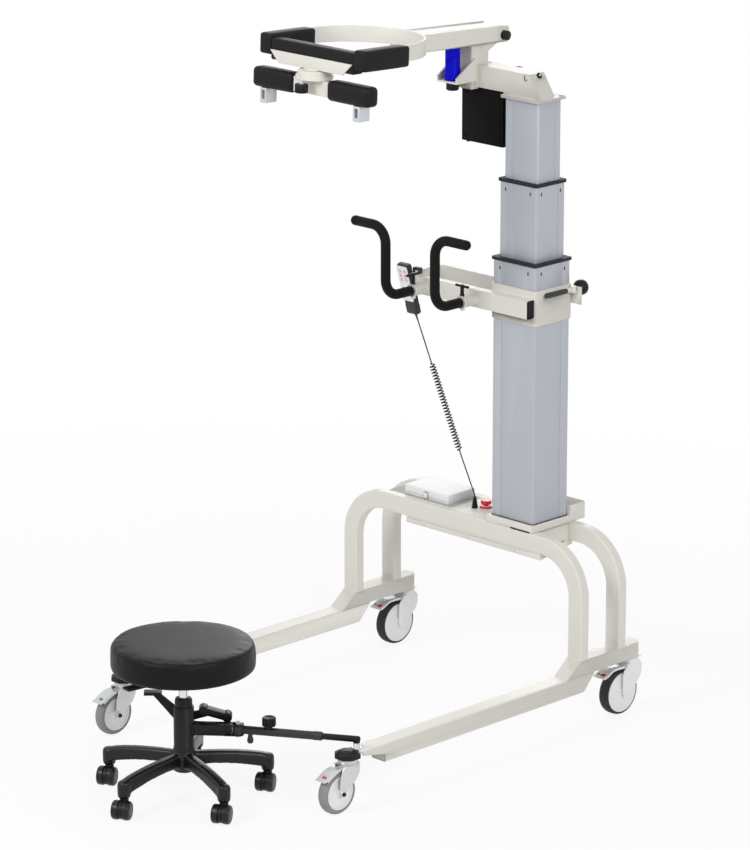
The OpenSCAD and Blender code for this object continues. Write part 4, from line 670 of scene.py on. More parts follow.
@dataclass
class Deck:
    """What stands on the deck between the arches."""

    top: float = 512
    box_h: float = 26
    sheet_z: tuple[float, float] = (508, 512.01)
    plate_x: tuple[float, float] = (-55.5, 95.5)
    tray_z: float = 463
    tray_x: float = 252
    tray_y: float = 575
    screw_y: float = 558.9
    foot_top: float = 559
    plate_top: float = 514
    estop: tuple[float, float] = (12, 646)
    estop_d: float = 29.5
    gland: tuple[float, float] = (-7, 621)

    def build(self) -> None:
        """Builds the deck, its control plate, the battery box, the foot of the column and the stop."""
        form = from_frame("deck_tray", 0.6)
        (z0, z1), (x0, x1) = self.sheet_z, self.plate_x
        # Painted shade: the deck sheet, all but the control plate's top, takes the darker grey that stands for how dim
        # the level deck looks in this light.
        form.skin(1, lambda c, n: z0 < c.z < z1 and not (x0 < c.x < x1 and c.z > z1 - 0.02 and n.z > 0.9))
        form.skin(2, lambda c, n: c.z < self.tray_z and c.y < self.screw_y)
        for index, at, r in ((3, self.estop, 19), (4, self.gland, 10)):
            form.skin(index, lambda c, n: math.hypot(c.x - at[0], c.y - at[1]) < r and c.z > self.plate_top + 0.02)
        form.shape(lambda co: Vector((self.tray_x, co.y, co.z)) if co.x > self.tray_x + 10 and co.y > self.tray_y
                   and co.z < self.tray_z + 0.5 else co)
        x, y = self.gland
        for k in range(5):
            r = 7.6 - 0.5 * k
            form += turned([(r - 2.6, -1.7), (r, -1.5), (r, 1.5), (r - 2.6, 1.7), (r - 2.6, -1.7)],
                           shifted(x, y, 521.5 + 4.6 * k), 4, 24)
        # A thin white ring under the stop's button is a painted highlight.
        form += turned([(7.5, 5.2), (15.8, 5.2), (15.8, 6), (14.6, 6.2), (7.5, 6.2), (7.5, 5.2)],
                       shifted(*self.estop, self.plate_top), 5, 40)
        # A thin grey strip along the front lip of the deck is a painted shade line.
        form += block((-205, 558.5, 457.6), (250, 559.2, 458.5), 0.1, 1)
        form.done("folded_deck", "base_frame", [CREAM, GREY_SHADE_AND_SEAM, ZINC, RED, JACKET, BOX_WHITE], ["deck_tray"], 40)
        self.battery()
        foot = from_frame("column_base", 1.6)
        # Painted shade: the foot's upward faces above its front take the darker grey.
        foot.skin(1, lambda c, n: n.z > 0.9 and c.z > self.foot_top)
        # A thin black strip at the foot's lower front edge is a painted shadow of the slit between the foot and the
        # beam.
        foot += block((187, 555.4, 512.4), (258, 557.4, 516.4), 0.5, 2)
        foot += slab(rounded(159, 143, 9), 531.6, 533.6, skin=2, place=shifted(180, 638, 0))
        foot.done("column_foot", "base_frame", [CREAM, GREY_SHADE_AND_SEAM, BLACK], ["column_base"])
        drive = bpy.data.objects["lift_drive"]
        for place in drive.material_slots:
            place.material = ZINC.material()
        r = self.estop_d / 2
        button = turned([(0, 4.2), (6, 4.2), (6, 9.9), (r * 0.86, 10), (r * 0.94, 11), (r, 14), (r, 18.4),
                         (r * 0.95, 20), (r * 0.84, 20.8), (r * 0.78, 20.2), (r * 0.4, 20.6), (0, 20.8)],
                        shifted(*self.estop, self.plate_top), steps=48)
        button.done("stop_mushroom", "emergency_stop", [RED], ["estop_button"])

    def battery(self) -> None:
        """Builds the moulded battery box with its lid line, feet and clips."""
        x, y, w, d, h = -166, 648, 168, 110, self.box_h
        form = from_frame("battery_box", 0)
        form.soften(4.5, 4, 60, lambda m: m.z > self.top + h - 0.5)
        form.soften(1.2, 2, 50, lambda m: m.z < self.top + h - 5)
        for side in (-1, 1):
            edge = y + side * d / 2
            form += block((x - 6.5, edge - 3.4, self.top + 2), (x + 6.5, edge + 0.2, self.top + 17), 1.2)
        form += slab(rounded(w + 0.7, d + 0.7, 6.3), self.top + 6.6, self.top + 7.4, skin=1, place=shifted(x, y, 0))
        form.done("battery_case", "base_frame", [BOX_WHITE, GREY_SHADE_AND_SEAM], ["battery_box"], 30)


@dataclass
class Column:
    """Three anodised tubes, each with a wiper and screws at its mouth."""

    x: float = 180
    y: float = 638
    tubes: tuple = (("outer", "base_frame", 154, 138, 1243), ("middle", "middle_column", 134, 112, 1456),
                    ("inner", "top_column", 120, 90, 1680))
    screw_drop: float = 20
    screw_out: float = 0.33

    def build(self) -> None:
        """Builds the three tubes."""
        for name, body, w, d, top in self.tubes:
            form = from_frame(f"column_{name}", 0.5)
            form.skin(1, lambda c, n: c.z > top - 0.02)
            form.skin(2, lambda c, n: c.z < top - 0.05
                      and (abs(c.x - self.x) > w / 2 + 0.05 or abs(c.y - self.y) > d / 2 + 0.05))
            if name != "inner":
                z = top - self.screw_drop
                for s, k in ((-1, -1), (-1, 1), (1, -1), (1, 1)):
                    turn = Matrix.Rotation(0 if s > 0 else math.pi, 4, "Z")
                    broad = shifted(self.x + k * w * self.screw_out, self.y + s * d / 2, z) @ turn
                    narrow = shifted(self.x + s * w / 2, self.y + k * d * self.screw_out, z) @ turn
                    form += block((-2, -0.2, -4.6), (2, 0.35, 4.6), skin=3).put(broad)
                    form += block((-0.2, -2, -4.6), (0.35, 2, 4.6), skin=3).put(narrow)
            form.done(f"{name}_column_tube", body, [ANODISED, WIPER, GREY, BLACK], [f"column_{name}"], 30)


@dataclass
class Beam:
    """The beam on the column with its post, spring seat, drive box and knobs."""

    yoke_x: float = -30
    y: float = 638
    z: float = 1688
    h: float = 60
    d: float = 54
    post_y: float = 622
    post_w: float = 64
    post_d: float = 66
    cap_at: tuple[float, float] = (178, 1736)
    cap_r: float = 9
    knob_y: float = 656
    knob_z: tuple[float, float] = (1770, 1801)
    weld_ys: tuple[float, float] = (593, 683)
    spring_y: float = 549
    seat_z: float = 1706

    def build(self) -> None:
        """Builds the beam, box, spring and knobs."""
        front = self.y - self.d / 2
        form = from_frame("top_beam", 1.3)

        def near(point: Vector) -> bool:
            """Tells whether a point lies under the mitre's round cap."""
            return math.hypot(point.x - self.cap_at[0], point.z - self.cap_at[1]) < self.cap_r

        form.skin(1, lambda c, n: c.y < front - 0.05 and near(c))
        form.shape(lambda co: Vector((co.x, front + 4, co.z)) if co.y < front - 0.4 and near(co) else co)
        low, high = self.knob_z
        form.shape(lambda co: Vector((co.x, co.y, high)) if co.y > self.knob_y and low < co.z < high else co)
        form.skin(2, lambda c, n: self.z + 0.02 < c.z < self.z + 4.2 and min(abs(c.y - y) for y in self.weld_ys) < 9
                  and abs(c.x - 180) > 48)
        mitre = upright((0.83, 0, 0.56), (197, self.y + 3, self.z + self.h - 6))
        form += turned([(0, 3.6), (3, 3.6), (3.4, 4.4), (5.6, 4.2), (7.6, 3), (8, 2.6), (8, -3)], mitre, 1, 28)
        form += turned([(0, 5.0), (2.6, 4.8), (3.2, 3.8)], mitre, 2, 16)
        x1 = self.yoke_x + self.post_w / 2
        loop = [(x1, self.y + a, self.z + self.h / 2 + b) for a, b in rounded(self.d, self.h, 2)]
        form += weld(loop + loop[:1], 4)
        y0 = self.post_y - self.post_d / 2
        form += weld([(self.yoke_x - 27, y0, self.seat_z + 5), (self.yoke_x + 27, y0, self.seat_z + 5)], 4)
        for s in (-1, 1):
            gx = self.yoke_x + s * self.post_w / 2
            form += weld([(gx + s * 5, y0 + 8, self.seat_z + 2), (gx + s * 5, y0 + 8, self.z + self.h + 18)], 3.4)
        form.done("mitred_top_beam", "top_column", [CREAM, BLACK, ZINC], ["top_beam"])
        self.box()
        self.spring()
        back = self.y + self.d / 2
        dial = knob(58, 20, 24).put(upright((0, 1, 0), (89, back + 0.4, self.z + self.h / 2)))
        dial += rod(6, -11, 1, upright((0, 1, 0), (89, back, self.z + self.h / 2)))
        dial.done("beam_lock_dial", "beam_lock_knob", [GREY], ["beam_knob"])

    def box(self) -> None:
        """Builds the control box that hangs under the beam."""
        x0, x1, z1, h = -54, 96, 1684, 147
        form = from_frame("drive_box", 2.0, segments=3)
        form += block((x0 + 8, self.y - self.d / 2 - 0.6, z1 - h + 8), (x1 - 8, self.y - self.d / 2, z1 - 8), 0.3)
        for dx in (14, 136):
            for dz in (14, 133):
                form += screw(6, 1.8).put(upright((0, -1, 0), (x0 + dx, self.y - self.d / 2 - 0.6, z1 - h + dz)))
        form.done("control_box", "top_column", [SATIN], ["drive_box"])

    def spring(self) -> None:
        """Builds the blue spring with its lower cup, and the knob that sets it."""
        x, y, z, r = self.yoke_x, self.spring_y, self.seat_z + 5, 20
        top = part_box("yoke_spring")[1].z / MM - z
        profile = [(0, 0), (r + 0.2, 0), (r + 1, 1), (r + 1, 28.6), (r + 0.4, 30), (r, 30.6)]
        for mid in (62, top - 10):
            profile += [(r, mid - 1.2), (r - 0.5, mid), (r, mid + 1.2)]
        profile += [(r, top - 1.4), (r - 1.4, top), (0, top)]
        form = turned(profile, shifted(x, y, z), steps=56)
        piece = form.done("blue_spring_element", "top_column", [BLUE], ["yoke_spring"])
        stretched(piece, (x, y, z), (x, y, z + top))
        form = knob(34, 21, 12).put(upright((0, 0, -1), (x, y, self.seat_z - 0.4)))
        form += rod(6, -1, 4.8, shifted(x, y, self.seat_z - 0.4))
        form.done("spring_setting_grip", "spring_setting_knob", [BLACK], ["spring_knob"])


def swollen(form: Form, centre: Point, half: Point, crown: float) -> Form:
    """Crowns a block's faces outwards, most at their middles, as foam under a tight skin.

    Args:
        form: the block, with enough points on its faces.
        centre: its middle.
        half: half its size along each axis.
        crown: how far a face's middle stands out.
    """
    def move(co: Vector) -> Vector:
        """Moves one point along the faces that it is near."""
        t = [(co[i] - centre[i]) / half[i] for i in range(3)]
        out = co.copy()
        for i in range(3):
            others = [1 - min(1, abs(t[j])) ** 2.5 for j in range(3) if j != i]
            out[i] += crown * t[i] * others[0] * others[1]
        return out

    return form.shape(move)


def pad_block(low: Point, high: Point, edge: float, crown: float = 1.2) -> Form:
    """Returns a foam block with rolled edges and crowned faces."""
    a, b = Vector(low), Vector(high)
    form = block(low, high).soften(edge, 5)
    long = max(range(3), key=lambda i: b[i] - a[i])
    edges = [e for e in form.bm.edges if abs((e.verts[0].co - e.verts[1].co)[long]) > (b - a)[long] * 0.5]
    bmesh.ops.subdivide_edges(form.bm, edges=edges, cuts=10, use_grid_fill=True)
    return swollen(form, (a + b) / 2, (b - a) / 2, crown)


@dataclass
class Yoke:
    """The sprung yoke: arm, bow, pads and the spreader that swivels under its front."""

    x: float = -30
    pivot: tuple[float, float] = (696, 1819)
    slope: float = 2.4
    bow_y: float = 195
    bow_r: float = 172
    bow_z: float = 1835.5
    arm_w: float = 96
    pin_x: float = 42
    pin_r: float = 6.4
    pad_w: float = 42
    pad_h: float = 54
    pad_y: tuple[float, float] = (24, 190)
    cross_y: tuple[float, float] = (26, 62)
    cross_z: tuple[float, float] = (1792, 1848)
    disc_z: float = 1785
    disc_r: float = 49
    spread_z: float = 1761
    spread_y: float = 40
    spread_l: float = 424

    def tilt(self) -> Matrix:
        """Returns the turn from the level drawing to the yoke's slope."""
        return about("X", -self.slope, (0, *self.pivot))

    def build(self) -> None:
        """Builds the arm, the bow, the pads and the spreader."""
        tilt = self.tilt()
        arm = from_frame("yoke_arm", 1.4)
        px, (py, pz) = self.x + self.arm_w / 2, self.pivot
        arm.skin(1, lambda c, n: abs(c.x - self.x) > self.arm_w / 2 + 0.05
                 or (abs(c.x - self.x) < self.pin_x and math.hypot(c.y - py, c.z - pz) < self.pin_r))
        arm += turned([(0, 17.4), (4, 17.2), (8, 16), (11, 13.6), (12.6, 10), (13.2, 5), (13.2, 0)],
                      upright((1, 0, 0), (px, py, pz)), 1, 36)
        arm.done("channel_arm", "yoke", [CREAM, BLACK], ["yoke_arm"])
        bow = from_frame("yoke_bow", 1.4)
        for s in (-1, 1):
            seam = [(self.x + s * 46, self.bow_y + 166.5, z) for z in (1812, 1846)]
            bow += weld(seam, 5).put(tilt)
        bow.done("flat_bar_bow", "yoke", [CREAM], ["yoke_bow"])
        self.pads(tilt)
        self.spreader(tilt)

    def pads(self, tilt: Matrix) -> None:
        """Builds the side pads, the cross pad and the plate before it."""
        form = Form()
        for s in (-1, 1):
            x = self.x + s * self.bow_r
            form += pad_block((x - self.pad_w / 2, self.pad_y[0], self.bow_z - 5 - self.pad_h / 2),
                              (x + self.pad_w / 2, self.pad_y[1], self.bow_z - 5 + self.pad_h / 2), 7.5)
        inner = self.bow_r - self.pad_w / 2
        (y0, y1), (z0, z1) = self.cross_y, self.cross_z
        form += pad_block((self.x - inner - 1, y0, z0), (self.x + inner + 1, y1, z1), 5, 0.6)
        form.put(tilt)
        pads = form.done("yoke_foam_pads", "yoke", [PAD], ["yoke_pads"], 60)
        y, z = self.cross_y[0] - 5, self.disc_z
        plate = slab([(-117, z + 2), (117, z + 2), (149, z + 34), (-149, z + 34)], 0, 5, 1.0,
                     place=Matrix.Translation((self.x, y + 5, 0)) @ quarter("X"))
        plate += rod(29, 0, 7, shifted(self.x, 38, z))
        plate.put(tilt).done("face_plate", "yoke", [CREAM])

    def spreader(self, tilt: Matrix) -> None:
        """Builds the swivel disc, the bar, its pads, the strap blocks and the lock knob."""
        z, r, y = self.spread_z, self.disc_r, self.spread_y
        form = turned([(0, 0), (r - 1.5, 0), (r, 1.5), (r, 10.5), (r - 1.2, 12), (r - 5, 12.2), (r - 5, 22.2),
                       (r - 6.4, 23.6), (0, 23.6)], shifted(self.x, 38, z), steps=72)
        bar = slab(rounded(30, 40, 3), -(self.spread_l / 2 - 12), self.spread_l / 2 - 12)
        form += bar.put(Matrix.Translation((self.x, y, z - 20)) @ quarter("Y") @ quarter("Z"))
        form.put(tilt).done("swivel_disc_and_bar", "spreader", [CREAM], ["spreader_bar"])
        pads = Form()
        for s in (-1, 1):
            a, b = sorted((self.x + s * self.spread_l / 2, self.x + s * 62))
            pads += pad_block((a, y - 22, z - 46), (b, y + 22, z + 6), 12)
        piece = pads.put(tilt).done("spreader_foam_pads", "spreader", [PAD], ["spreader_pads"], 60)
        blocks = from_frame("strap_blocks", 1.2)
        blocks.done("strap_anchor_blocks", "spreader", [ALUMINIUM], ["strap_blocks"])
        form = knob(35, 24, 10).put(upright((0, 0, -1), (self.x, -8, z - 8)))
        form += rod(4, -1, 18, shifted(self.x, -8, z - 8), 1)
        form += turned([(4, 0), (8, 0), (8, 3), (4, 4)], shifted(self.x, -8, z - 8), 1)
        form.put(tilt).done("swivel_lock_grip", "swivel_lock_knob", [BLACK, ZINC], ["swivel_knob"])


@dataclass
class Carriage:
    """The collar on the column with its cross rail, handlebars, clamp and handset bracket."""

    yoke_x: float = -30
    pitch: float = 183
    socket_z: float = 1129.5
    socket_y: tuple[float, float] = (487.6, 536.6)
    bar_y: float = 389.6
    bar_top: float = 1322
    bend_r: float = 48
    grip_d: float = 27
    reach: float = 125
    clamp: tuple[float, float, float] = (271.4, 711.4, 1165)
    plug: tuple[float, float, float] = (249.9, 550.6, 1133)

    def build(self) -> None:
        """Builds the collar, the handlebars with their screws, and the clamp."""
        form = from_frame("handle_carriage", 1.2)
        x, y, z = self.plug
        form.skin(1, lambda c, n: c.x > x and c.y < y + 14.4 and abs(c.y - y) < 11.05 and abs(c.z - z) < 22.05)
        for s in (-1, 1):
            form += self.socket(self.yoke_x + s * self.pitch / 2)
        for z in (1158.4, 1107.6):
            form += weld([(101, 564.6, z), (256, 564.6, z)], 4)
        form.done("collar_and_cross_rail", "carriage", [CREAM, BLACK], ["handle_carriage"])
        for side, s in SIDES:
            self.handlebar(side, s)
            self.t_screw(side, s)
        self.cam()

    def socket(self, x: float) -> Form:
        """Returns the weld, set screw and lower tab of one handlebar socket."""
        y0, y1 = self.socket_y
        loop = [(x + a, y1, self.socket_z + b) for a, b in ring(16.5, 24)]
        form = weld(loop + loop[:1], 2.6)
        form += turned([(15.6, 0), (17.6, 0), (18.2, 1.2), (18.2, 3.4), (16.4, 4.4), (15.6, 4.4), (15.6, 0)],
                       upright((0, 1, 0), (x, y0, self.socket_z)))
        form += screw(6, 1.6).put(upright((0.94, 0, 0.34), (x + 15.6, y0 + 26, self.socket_z + 5.4)))
        form += block((x - 2.5, y0 + 4, self.socket_z - 24), (x + 2.5, y0 + 15, self.socket_z - 14), 1)
        return form

    def handlebar(self, side: str, s: int) -> None:
        """Builds one foam-covered handlebar with its steel end."""
        x, r = self.yoke_x + s * self.pitch / 2, self.grip_d / 2
        y0 = self.socket_y[0] - 0.4
        end = (x + s * self.reach, self.bar_y, self.bar_top)
        knees = routed([(x, y0, self.socket_z), (x, self.bar_y, self.socket_z), (x, self.bar_y, self.bar_top), end],
                       self.bend_r, 14)
        tail = ((24, 1), (22.6, 0.94), (21.6, 0.94), (20.2, 1), (11, 1), (6.5, 0.93), (3.2, 0.76), (1.1, 0.5),
                (0.2, 0.2))
        ends = [Vector((end[0] - s * k, *end[1:])) for k, _ in tail]
        path = [knees[0], Vector((x, y0 - 1.6, self.socket_z)), *knees[1:-1], *ends]
        wide = [0.9] + [1.0] * (len(knees) - 1) + [k for _, k in tail]
        form = swept(ring(r, 28), path, sizes=[(k, k) for k in wide])
        form += rod(11, 0, 48, upright((0, 1, 0), (x, y0 - 0.4, self.socket_z)), 1)
        form.done(f"{side}_foam_handlebar", f"{side}_handlebar", [GRIP, BLACK_PAINT], [f"handlebar_{side}"], 50)

    def t_screw(self, side: str, s: int) -> None:
        """Builds one T-handled locking screw."""
        x, y, z = self.yoke_x + s * self.pitch / 2, 494.6, self.socket_z
        form = turned([(0, 11.5), (5, 11.5), (5, 17.5), (6.8, 18.5), (6.8, 21), (5.2, 22.5), (5.2, 40), (6.2, 42),
                       (6.2, 46.5), (5, 48.6), (0, 49)], shifted(x, y, z), steps=28)
        lean = (0, 1, 0) if side == "left" else (1, 0, 0)
        half = [(0, -24), (2.4, -24), (3.6, -22.8), (3.9, -20), (3.2, -8)]
        form += turned(half + [(3.5, 0)] + mirrored(half)[5:], upright(lean, (x, y, z + 44)), steps=20)
        form.done(f"{side}_locking_screw", f"{side}_t_screw", [BLACK], [f"t_screw_{side}"])

    def cam(self) -> None:
        """Builds the cam lever beside the collar and the ball knob on its rod's far end."""
        x, y, z = self.clamp
        pivot = y - 9.4
        form = turned([(0, -9), (8, -9), (9, -8), (9, 8), (8, 9), (0, 9)], shifted(x, pivot, z), 1)
        form += turned([(5.4, 6), (6.6, 8), (6.8, 16), (6.2, 20), (6.2, 26), (5, 27)],
                       upright((0, -1, 0), (x, pivot, z)), 1, 28)
        form += swept(rounded(15.4, 13, 5, 4), [(x, pivot - d, z) for d in (25, 26, 40, 60, 80, 98, 104, 107.4)],
                     sizes=[(0.7, 0.7), (0.86, 0.9), (0.95, 1), (1, 1), (1, 1), (0.96, 1), (0.86, 0.9), (0.5, 0.5)])
        form.done("cam_clamp_lever", "cam_lever", [GREY, CREAM], ["clamp_lever"], 45)
        r = 21
        ball = turned([(0, 4.4), (r * 0.55, 4.4), (r * 0.62, 6), (r * 0.8, 9), (r * 0.95, 13.5), (r, 19), (r, 25),
                       (r * 0.96, 29.5), (r * 0.84, 33.5), (r * 0.6, 36), (0, 36.4)], upright((0, 1, 0), (x, y, z)),
                      steps=48)
        ball += rod(5, 0.2, 6, upright((0, 1, 0), (x, y, z)), steps=24)
        ball.done("tension_ball_knob", "tension_knob", [BLACK], ["clamp_knob"], 40)


def fused(form: Form, voxel: float, passes: int) -> Form:
    """Returns the form's parts grown into one skin, as a moulding's are, with soft valleys between them.

    Args:
        form: overlapping closed parts.
        voxel: the size of a step, in millimetres.
        passes: how often the skin is smoothed.
    """
    spare = form.mesh("spare")
    holder = added("spare", spare)
    remesh = holder.modifiers.new("remesh", "REMESH")
    remesh.mode, remesh.voxel_size = "VOXEL", voxel
    whole = holder.evaluated_get(bpy.context.evaluated_depsgraph_get()).to_mesh()
    grown = Form()
    grown.bm.from_mesh(whole)
    bpy.data.objects.remove(holder)
    bpy.data.meshes.remove(spare)
    for _ in range(passes):
        bmesh.ops.smooth_vert(grown.bm, verts=grown.bm.verts, factor=0.5,
                              use_axis_x=True, use_axis_y=True, use_axis_z=True)
    return grown.outward()


@dataclass
class Caster:
    """A swivel caster with a brake pedal, drawn about its stem."""

    side: str
    place: tuple[float, float]
    wheel_d: float = 125
    wheel_w: float = 32
    trail: float = 43.5
    top_z: float = 154.7
    stem_top: float = 168
    stem_d: float = 16
    end: str = "rear"
    tread: Finish = BLACK_TYRE
    fork_looks: tuple[Finish, ...] = (WHITE, ZINC, WHITE)

    def axle(self) -> Matrix:
        """Returns the placement that stands +Z along the axle, towards +X."""
        return upright((1, 0, 0), (0, -self.trail, self.wheel_d / 2))

    def axle_end(self, s: int, out: float) -> Matrix:
        """Returns the placement that looks outwards along the axle on one side, so far from its middle."""
        return self.axle() @ upright((0, 0, s), (0, 0, s * out))

    def build(self) -> None:
        """Builds the wheel, the fork and the pedal."""
        name, at = f"{self.end}_{self.side}", shifted(*self.place, 0)
        for part, form, title, looks, smooth in (
                ("wheel", self.wheel(), "caster_wheel", [self.tread, WHITE], 30),
                ("fork", self.fork(), "caster_fork", self.fork_looks, 40),
                ("pedal", self.pedal(), "brake_pedal", self.pedal_looks(), 35)):
            form.put(at).done(f"{name}_{title}", f"{name}_{part}", looks, [f"{self.end}_{part}_{self.side}"], smooth)

    def pedal_looks(self) -> list[Finish]:
        """Returns the finishes of the pedal and its marks."""
        return [WHITE, RED, GREEN, ZINC]

    def disc_and_tread(self, half: Flat, back: tuple[float, float], side: Flat) -> Form:
        """Returns the wheel about its axle.

        Args:
            half: the tread's profile on the inner side, from its bead to its crown.
            back: how far the tread's root lies within its radius and its faces.
            side: the disc's profile on the inner side, from the hub to the rim.
        """
        r, h = self.wheel_d / 2 - back[0], self.wheel_w / 2 - back[1]
        form = turned([*mirrored(half), (r, h), (r, -h), half[0]], self.axle(), 0, 88)
        form += turned([*mirrored(side), side[0]], self.axle(), 1, 88)
        return form

    def wheel(self) -> Form:
        """Returns the wheel: a thin tread round a full smooth disc."""
        r, h = self.wheel_d / 2, self.wheel_w / 2
        half = [(r - 7.5, -h + 1.4), (r - 6.5, -h + 0.2), (r - 5, -h), (r - 2.4, -h + 1.6), (r - 0.6, -h + 6),
                (r, -h + 11)]
        side = [(5.4, -h - 2.6), (11, -h - 2.6), (12.5, -h - 1.6), (14, -h + 0.6), (24, -h + 0.2), (r - 14, -h + 1.4),
                (r - 9.6, -h + 0.1), (r - 7.9, -h + 0.1), (r - 7.4, -h + 1.6)]
        return self.disc_and_tread(half, (9, 2), side)

    def stem(self) -> Form:
        """Returns the stem that turns in the rail."""
        r = self.stem_d / 2
        return turned([(0, self.top_z - 2), (r, self.top_z - 2), (r, self.stem_top - 1), (r - 1, self.stem_top),
                       (0, self.stem_top)], skin=1)

    def fork(self) -> Form:
        """Returns the moulded fork: a domed shoulder over two broad cheeks."""
        h = self.wheel_w / 2 + 3
        parts = Form()
        outline = [(-49, 60), (-49, 112), (-44, 124), (-34, 133), (-22, 138), (-8, 139), (20, 139), (26.4, 134),
                   (26.8, 120), (25.4, 108), (20, 96), (10, 84), (-8, 70), (-24, 56), (-33, 48), (-43, 47)]
        turn = quarter("Z") @ quarter("X")
        for s in (-1, 1):
            parts += slab(outline, s * h if s > 0 else -h - 5.4, h + 5.4 if s > 0 else -h, 1.6, place=turn)
        parts += turned([(0, 129.5), (24, 129.5), (26.6, 133), (27, 142), (26.2, 148), (23.6, 152.4),
                         (20, self.top_z - 0.2), (0, self.top_z - 0.2)], steps=48)
        parts += block((-h - 4, -30, 130), (h + 4, 24, 141), 3)
        form = fused(parts, 1.5, 5)
        form += self.stem()
        for s in (-1, 1):
            form += turned([(0, 4.4), (3, 4.2), (6, 3), (7.4, 1), (7.8, -1), (0, -1)], self.axle_end(s, h + 5.2), 2, 28)
        form += rod(4.95, -h - 5, h + 5, self.axle(), 1, 24)
        return form

    def pedal(self) -> Form:
        """Returns the moulded pedal with its ribs and marks."""
        path = [(0, y, z) for y, z in ((-27, 131), (-40, 132), (-58, 133), (-78, 133), (-92, 130.4), (-106, 124.4),
                                       (-116, 120.6), (-123, 119.4))]
        sizes = [(0.72, 1.3), (0.76, 1.4), (0.78, 1.2), (0.84, 1.1), (1, 1), (1.06, 0.95), (1.06, 0.9), (0.98, 0.6)]
        form = swept(rounded(42, 6, 2.4), path, sizes=sizes)
        form.soften(1, 2, 50)
        for k in range(5):
            y, z = -80 - 4.4 * k, 134.2 - 0.9 * k - 0.3 * k * k
            form += block((-15, -0.9, 0), (15, 0.9, 2.4), 0.6).put(shifted(0, y, z))
        lean = Matrix.Rotation(math.radians(23), 4, "X")
        form += slab(rounded(16, 11, 2.5), 0, 1.6, 0.3, 1, place=shifted(5, -110, 125.4) @ lean)
        form += slab(rounded(6, 8, 2), 0, 1.4, 0.3, 2, place=shifted(-11, -110, 125.4) @ lean)
        form += rod(5, -18.4, 18.4, upright((1, 0, 0), (0, -30, 130)), 0, 24)
        form += rod(2.5, -20.8, 20.8, upright((1, 0, 0), (0, -30, 130)), 3, 18)
        return form


@dataclass
class FrontCaster(Caster):
    """The front caster: pressed and plated steel round a grey-tyred wheel."""

    wheel_d: float = 114
    wheel_w: float = 30
    trail: float = 40
    top_z: float = 140.7
    stem_top: float = 154.5
    stem_d: float = 12
    end: str = "front"
    tread: Finish = GREY_TYRE
    fork_looks: tuple[Finish, ...] = (ZINC, ZINC, BLACK_PAINT)

    def pedal_looks(self) -> list[Finish]:
        """Returns the finishes of the pedal and its mark, which differs from side to side."""
        return [ZINC, RED if self.side == "right" else GREEN, GREY, ZINC]

    def wheel(self) -> Form:
        """Returns the wheel: a thick moulded tyre on a dished white centre with a raised rim."""
        r, h = self.wheel_d / 2, self.wheel_w / 2
        half = [(r - 12.6, -h + 3), (r - 11.6, -h + 0.8), (r - 8, -h), (r - 5.4, -h + 0.4), (r - 4.6, -h + 1.6),
                (r - 4.2, -h + 2.8), (r - 3.2, -h + 3.4), (r - 1.4, -h + 5.4), (r - 0.3, -h + 9), (r, -h + 13)]
        side = [(5.4, -h - 2.4), (10, -h - 2.4), (11.5, -h - 1), (12.5, -h + 3.4), (14, -h + 4.4), (r - 23, -h + 5.2),
                (r - 18, -h + 4.4), (r - 16.4, -h + 0.8), (r - 13, -h + 0.5), (r - 12.2, -h + 2.4)]
        return self.disc_and_tread(half, (14, 4), side)

    def fork(self) -> Form:
        """Returns the pressed fork with its swivel head, cheeks, axle nut and bolt."""
        h = self.wheel_w / 2 + 3
        form = turned([(0, 128), (20, 128), (26, 128.8), (26.4, 131), (25.2, 132.4), (25.2, 133.4), (26.4, 134.6),
                       (26.2, 138), (24, 140.4), (0, 140.5)], steps=56)
        form += turned([(0, 112), (13, 112), (14, 113), (14, 130), (0, 130)], skin=1)
        form += block((-h - 3, -24, 124), (h + 3, 22, 129), 1.6)
        outline = [(-49, 57), (-47.6, 63), (-46, 90), (-44, 104), (-38, 118), (-30, 128), (24, 128), (24, 112),
                   (22, 100), (12, 84), (-16, 62), (-30, 50), (-36, 47.4), (-42, 47.6), (-47, 51)]
        turn = quarter("Z") @ quarter("X")
        for s in (-1, 1):
            form += slab(outline, h if s > 0 else -h - 3, h + 3 if s > 0 else -h, 1.1, place=turn)
            form += hexagon(17, 5.4, 1).put(self.axle_end(s, h + 2.8))
            form += turned([(0, 7), (4.4, 6.6), (5.6, 5), (5.6, 0), (0, 0)], self.axle_end(s, h + 6), 2, 24)
            form += screw(7, 2.2, 1).put(upright((s, 0, 0), (s * (h + 3), 12, 120)))
        form += rod(4.95, -h - 5, h + 5, self.axle(), 1, 24)
        form += self.stem()
        return form

    def pedal(self) -> Form:
        """Returns the pressed pedal: a sheet with folded sides and a turned-out lip."""
        path = [(0, y, z) for y, z in ((-23, 123), (-32, 124.4), (-48, 123.4), (-62, 119.4), (-76, 112.2), (-88, 104.6),
                                       (-92.5, 102.4), (-100, 101))]
        sizes = [(0.72, 1), (0.8, 1), (0.92, 1), (1, 1), (1, 1), (1, 1), (1.02, 1), (0.94, 1)]
        form = swept(rounded(37, 2.6, 1.2), path, sizes=sizes)
        for s in (-1, 1):
            edge = [(s * 17.4 * k, y, z - 4) for (_, y, z), (k, _) in list(zip(path, sizes))[:6]]
            form += swept(rounded(2, 8, 0.9), edge)
        lean = Matrix.Rotation(math.radians(32), 4, "X")
        form += slab(rounded(13, 7.5, 1.2), 0, 0.9, 0.2, 1, place=shifted(2, -84.5, 108.0) @ lean)
        form += block((-9.4, -38, 123), (-3.4, -27, 128), 1.4, 2)
        form += rod(5, -17.5, 17.5, upright((1, 0, 0), (0, -30, 121)), 0, 24)
        form += rod(2.5, -19.6, 19.6, upright((1, 0, 0), (0, -30, 121)), 3, 18)
        return form


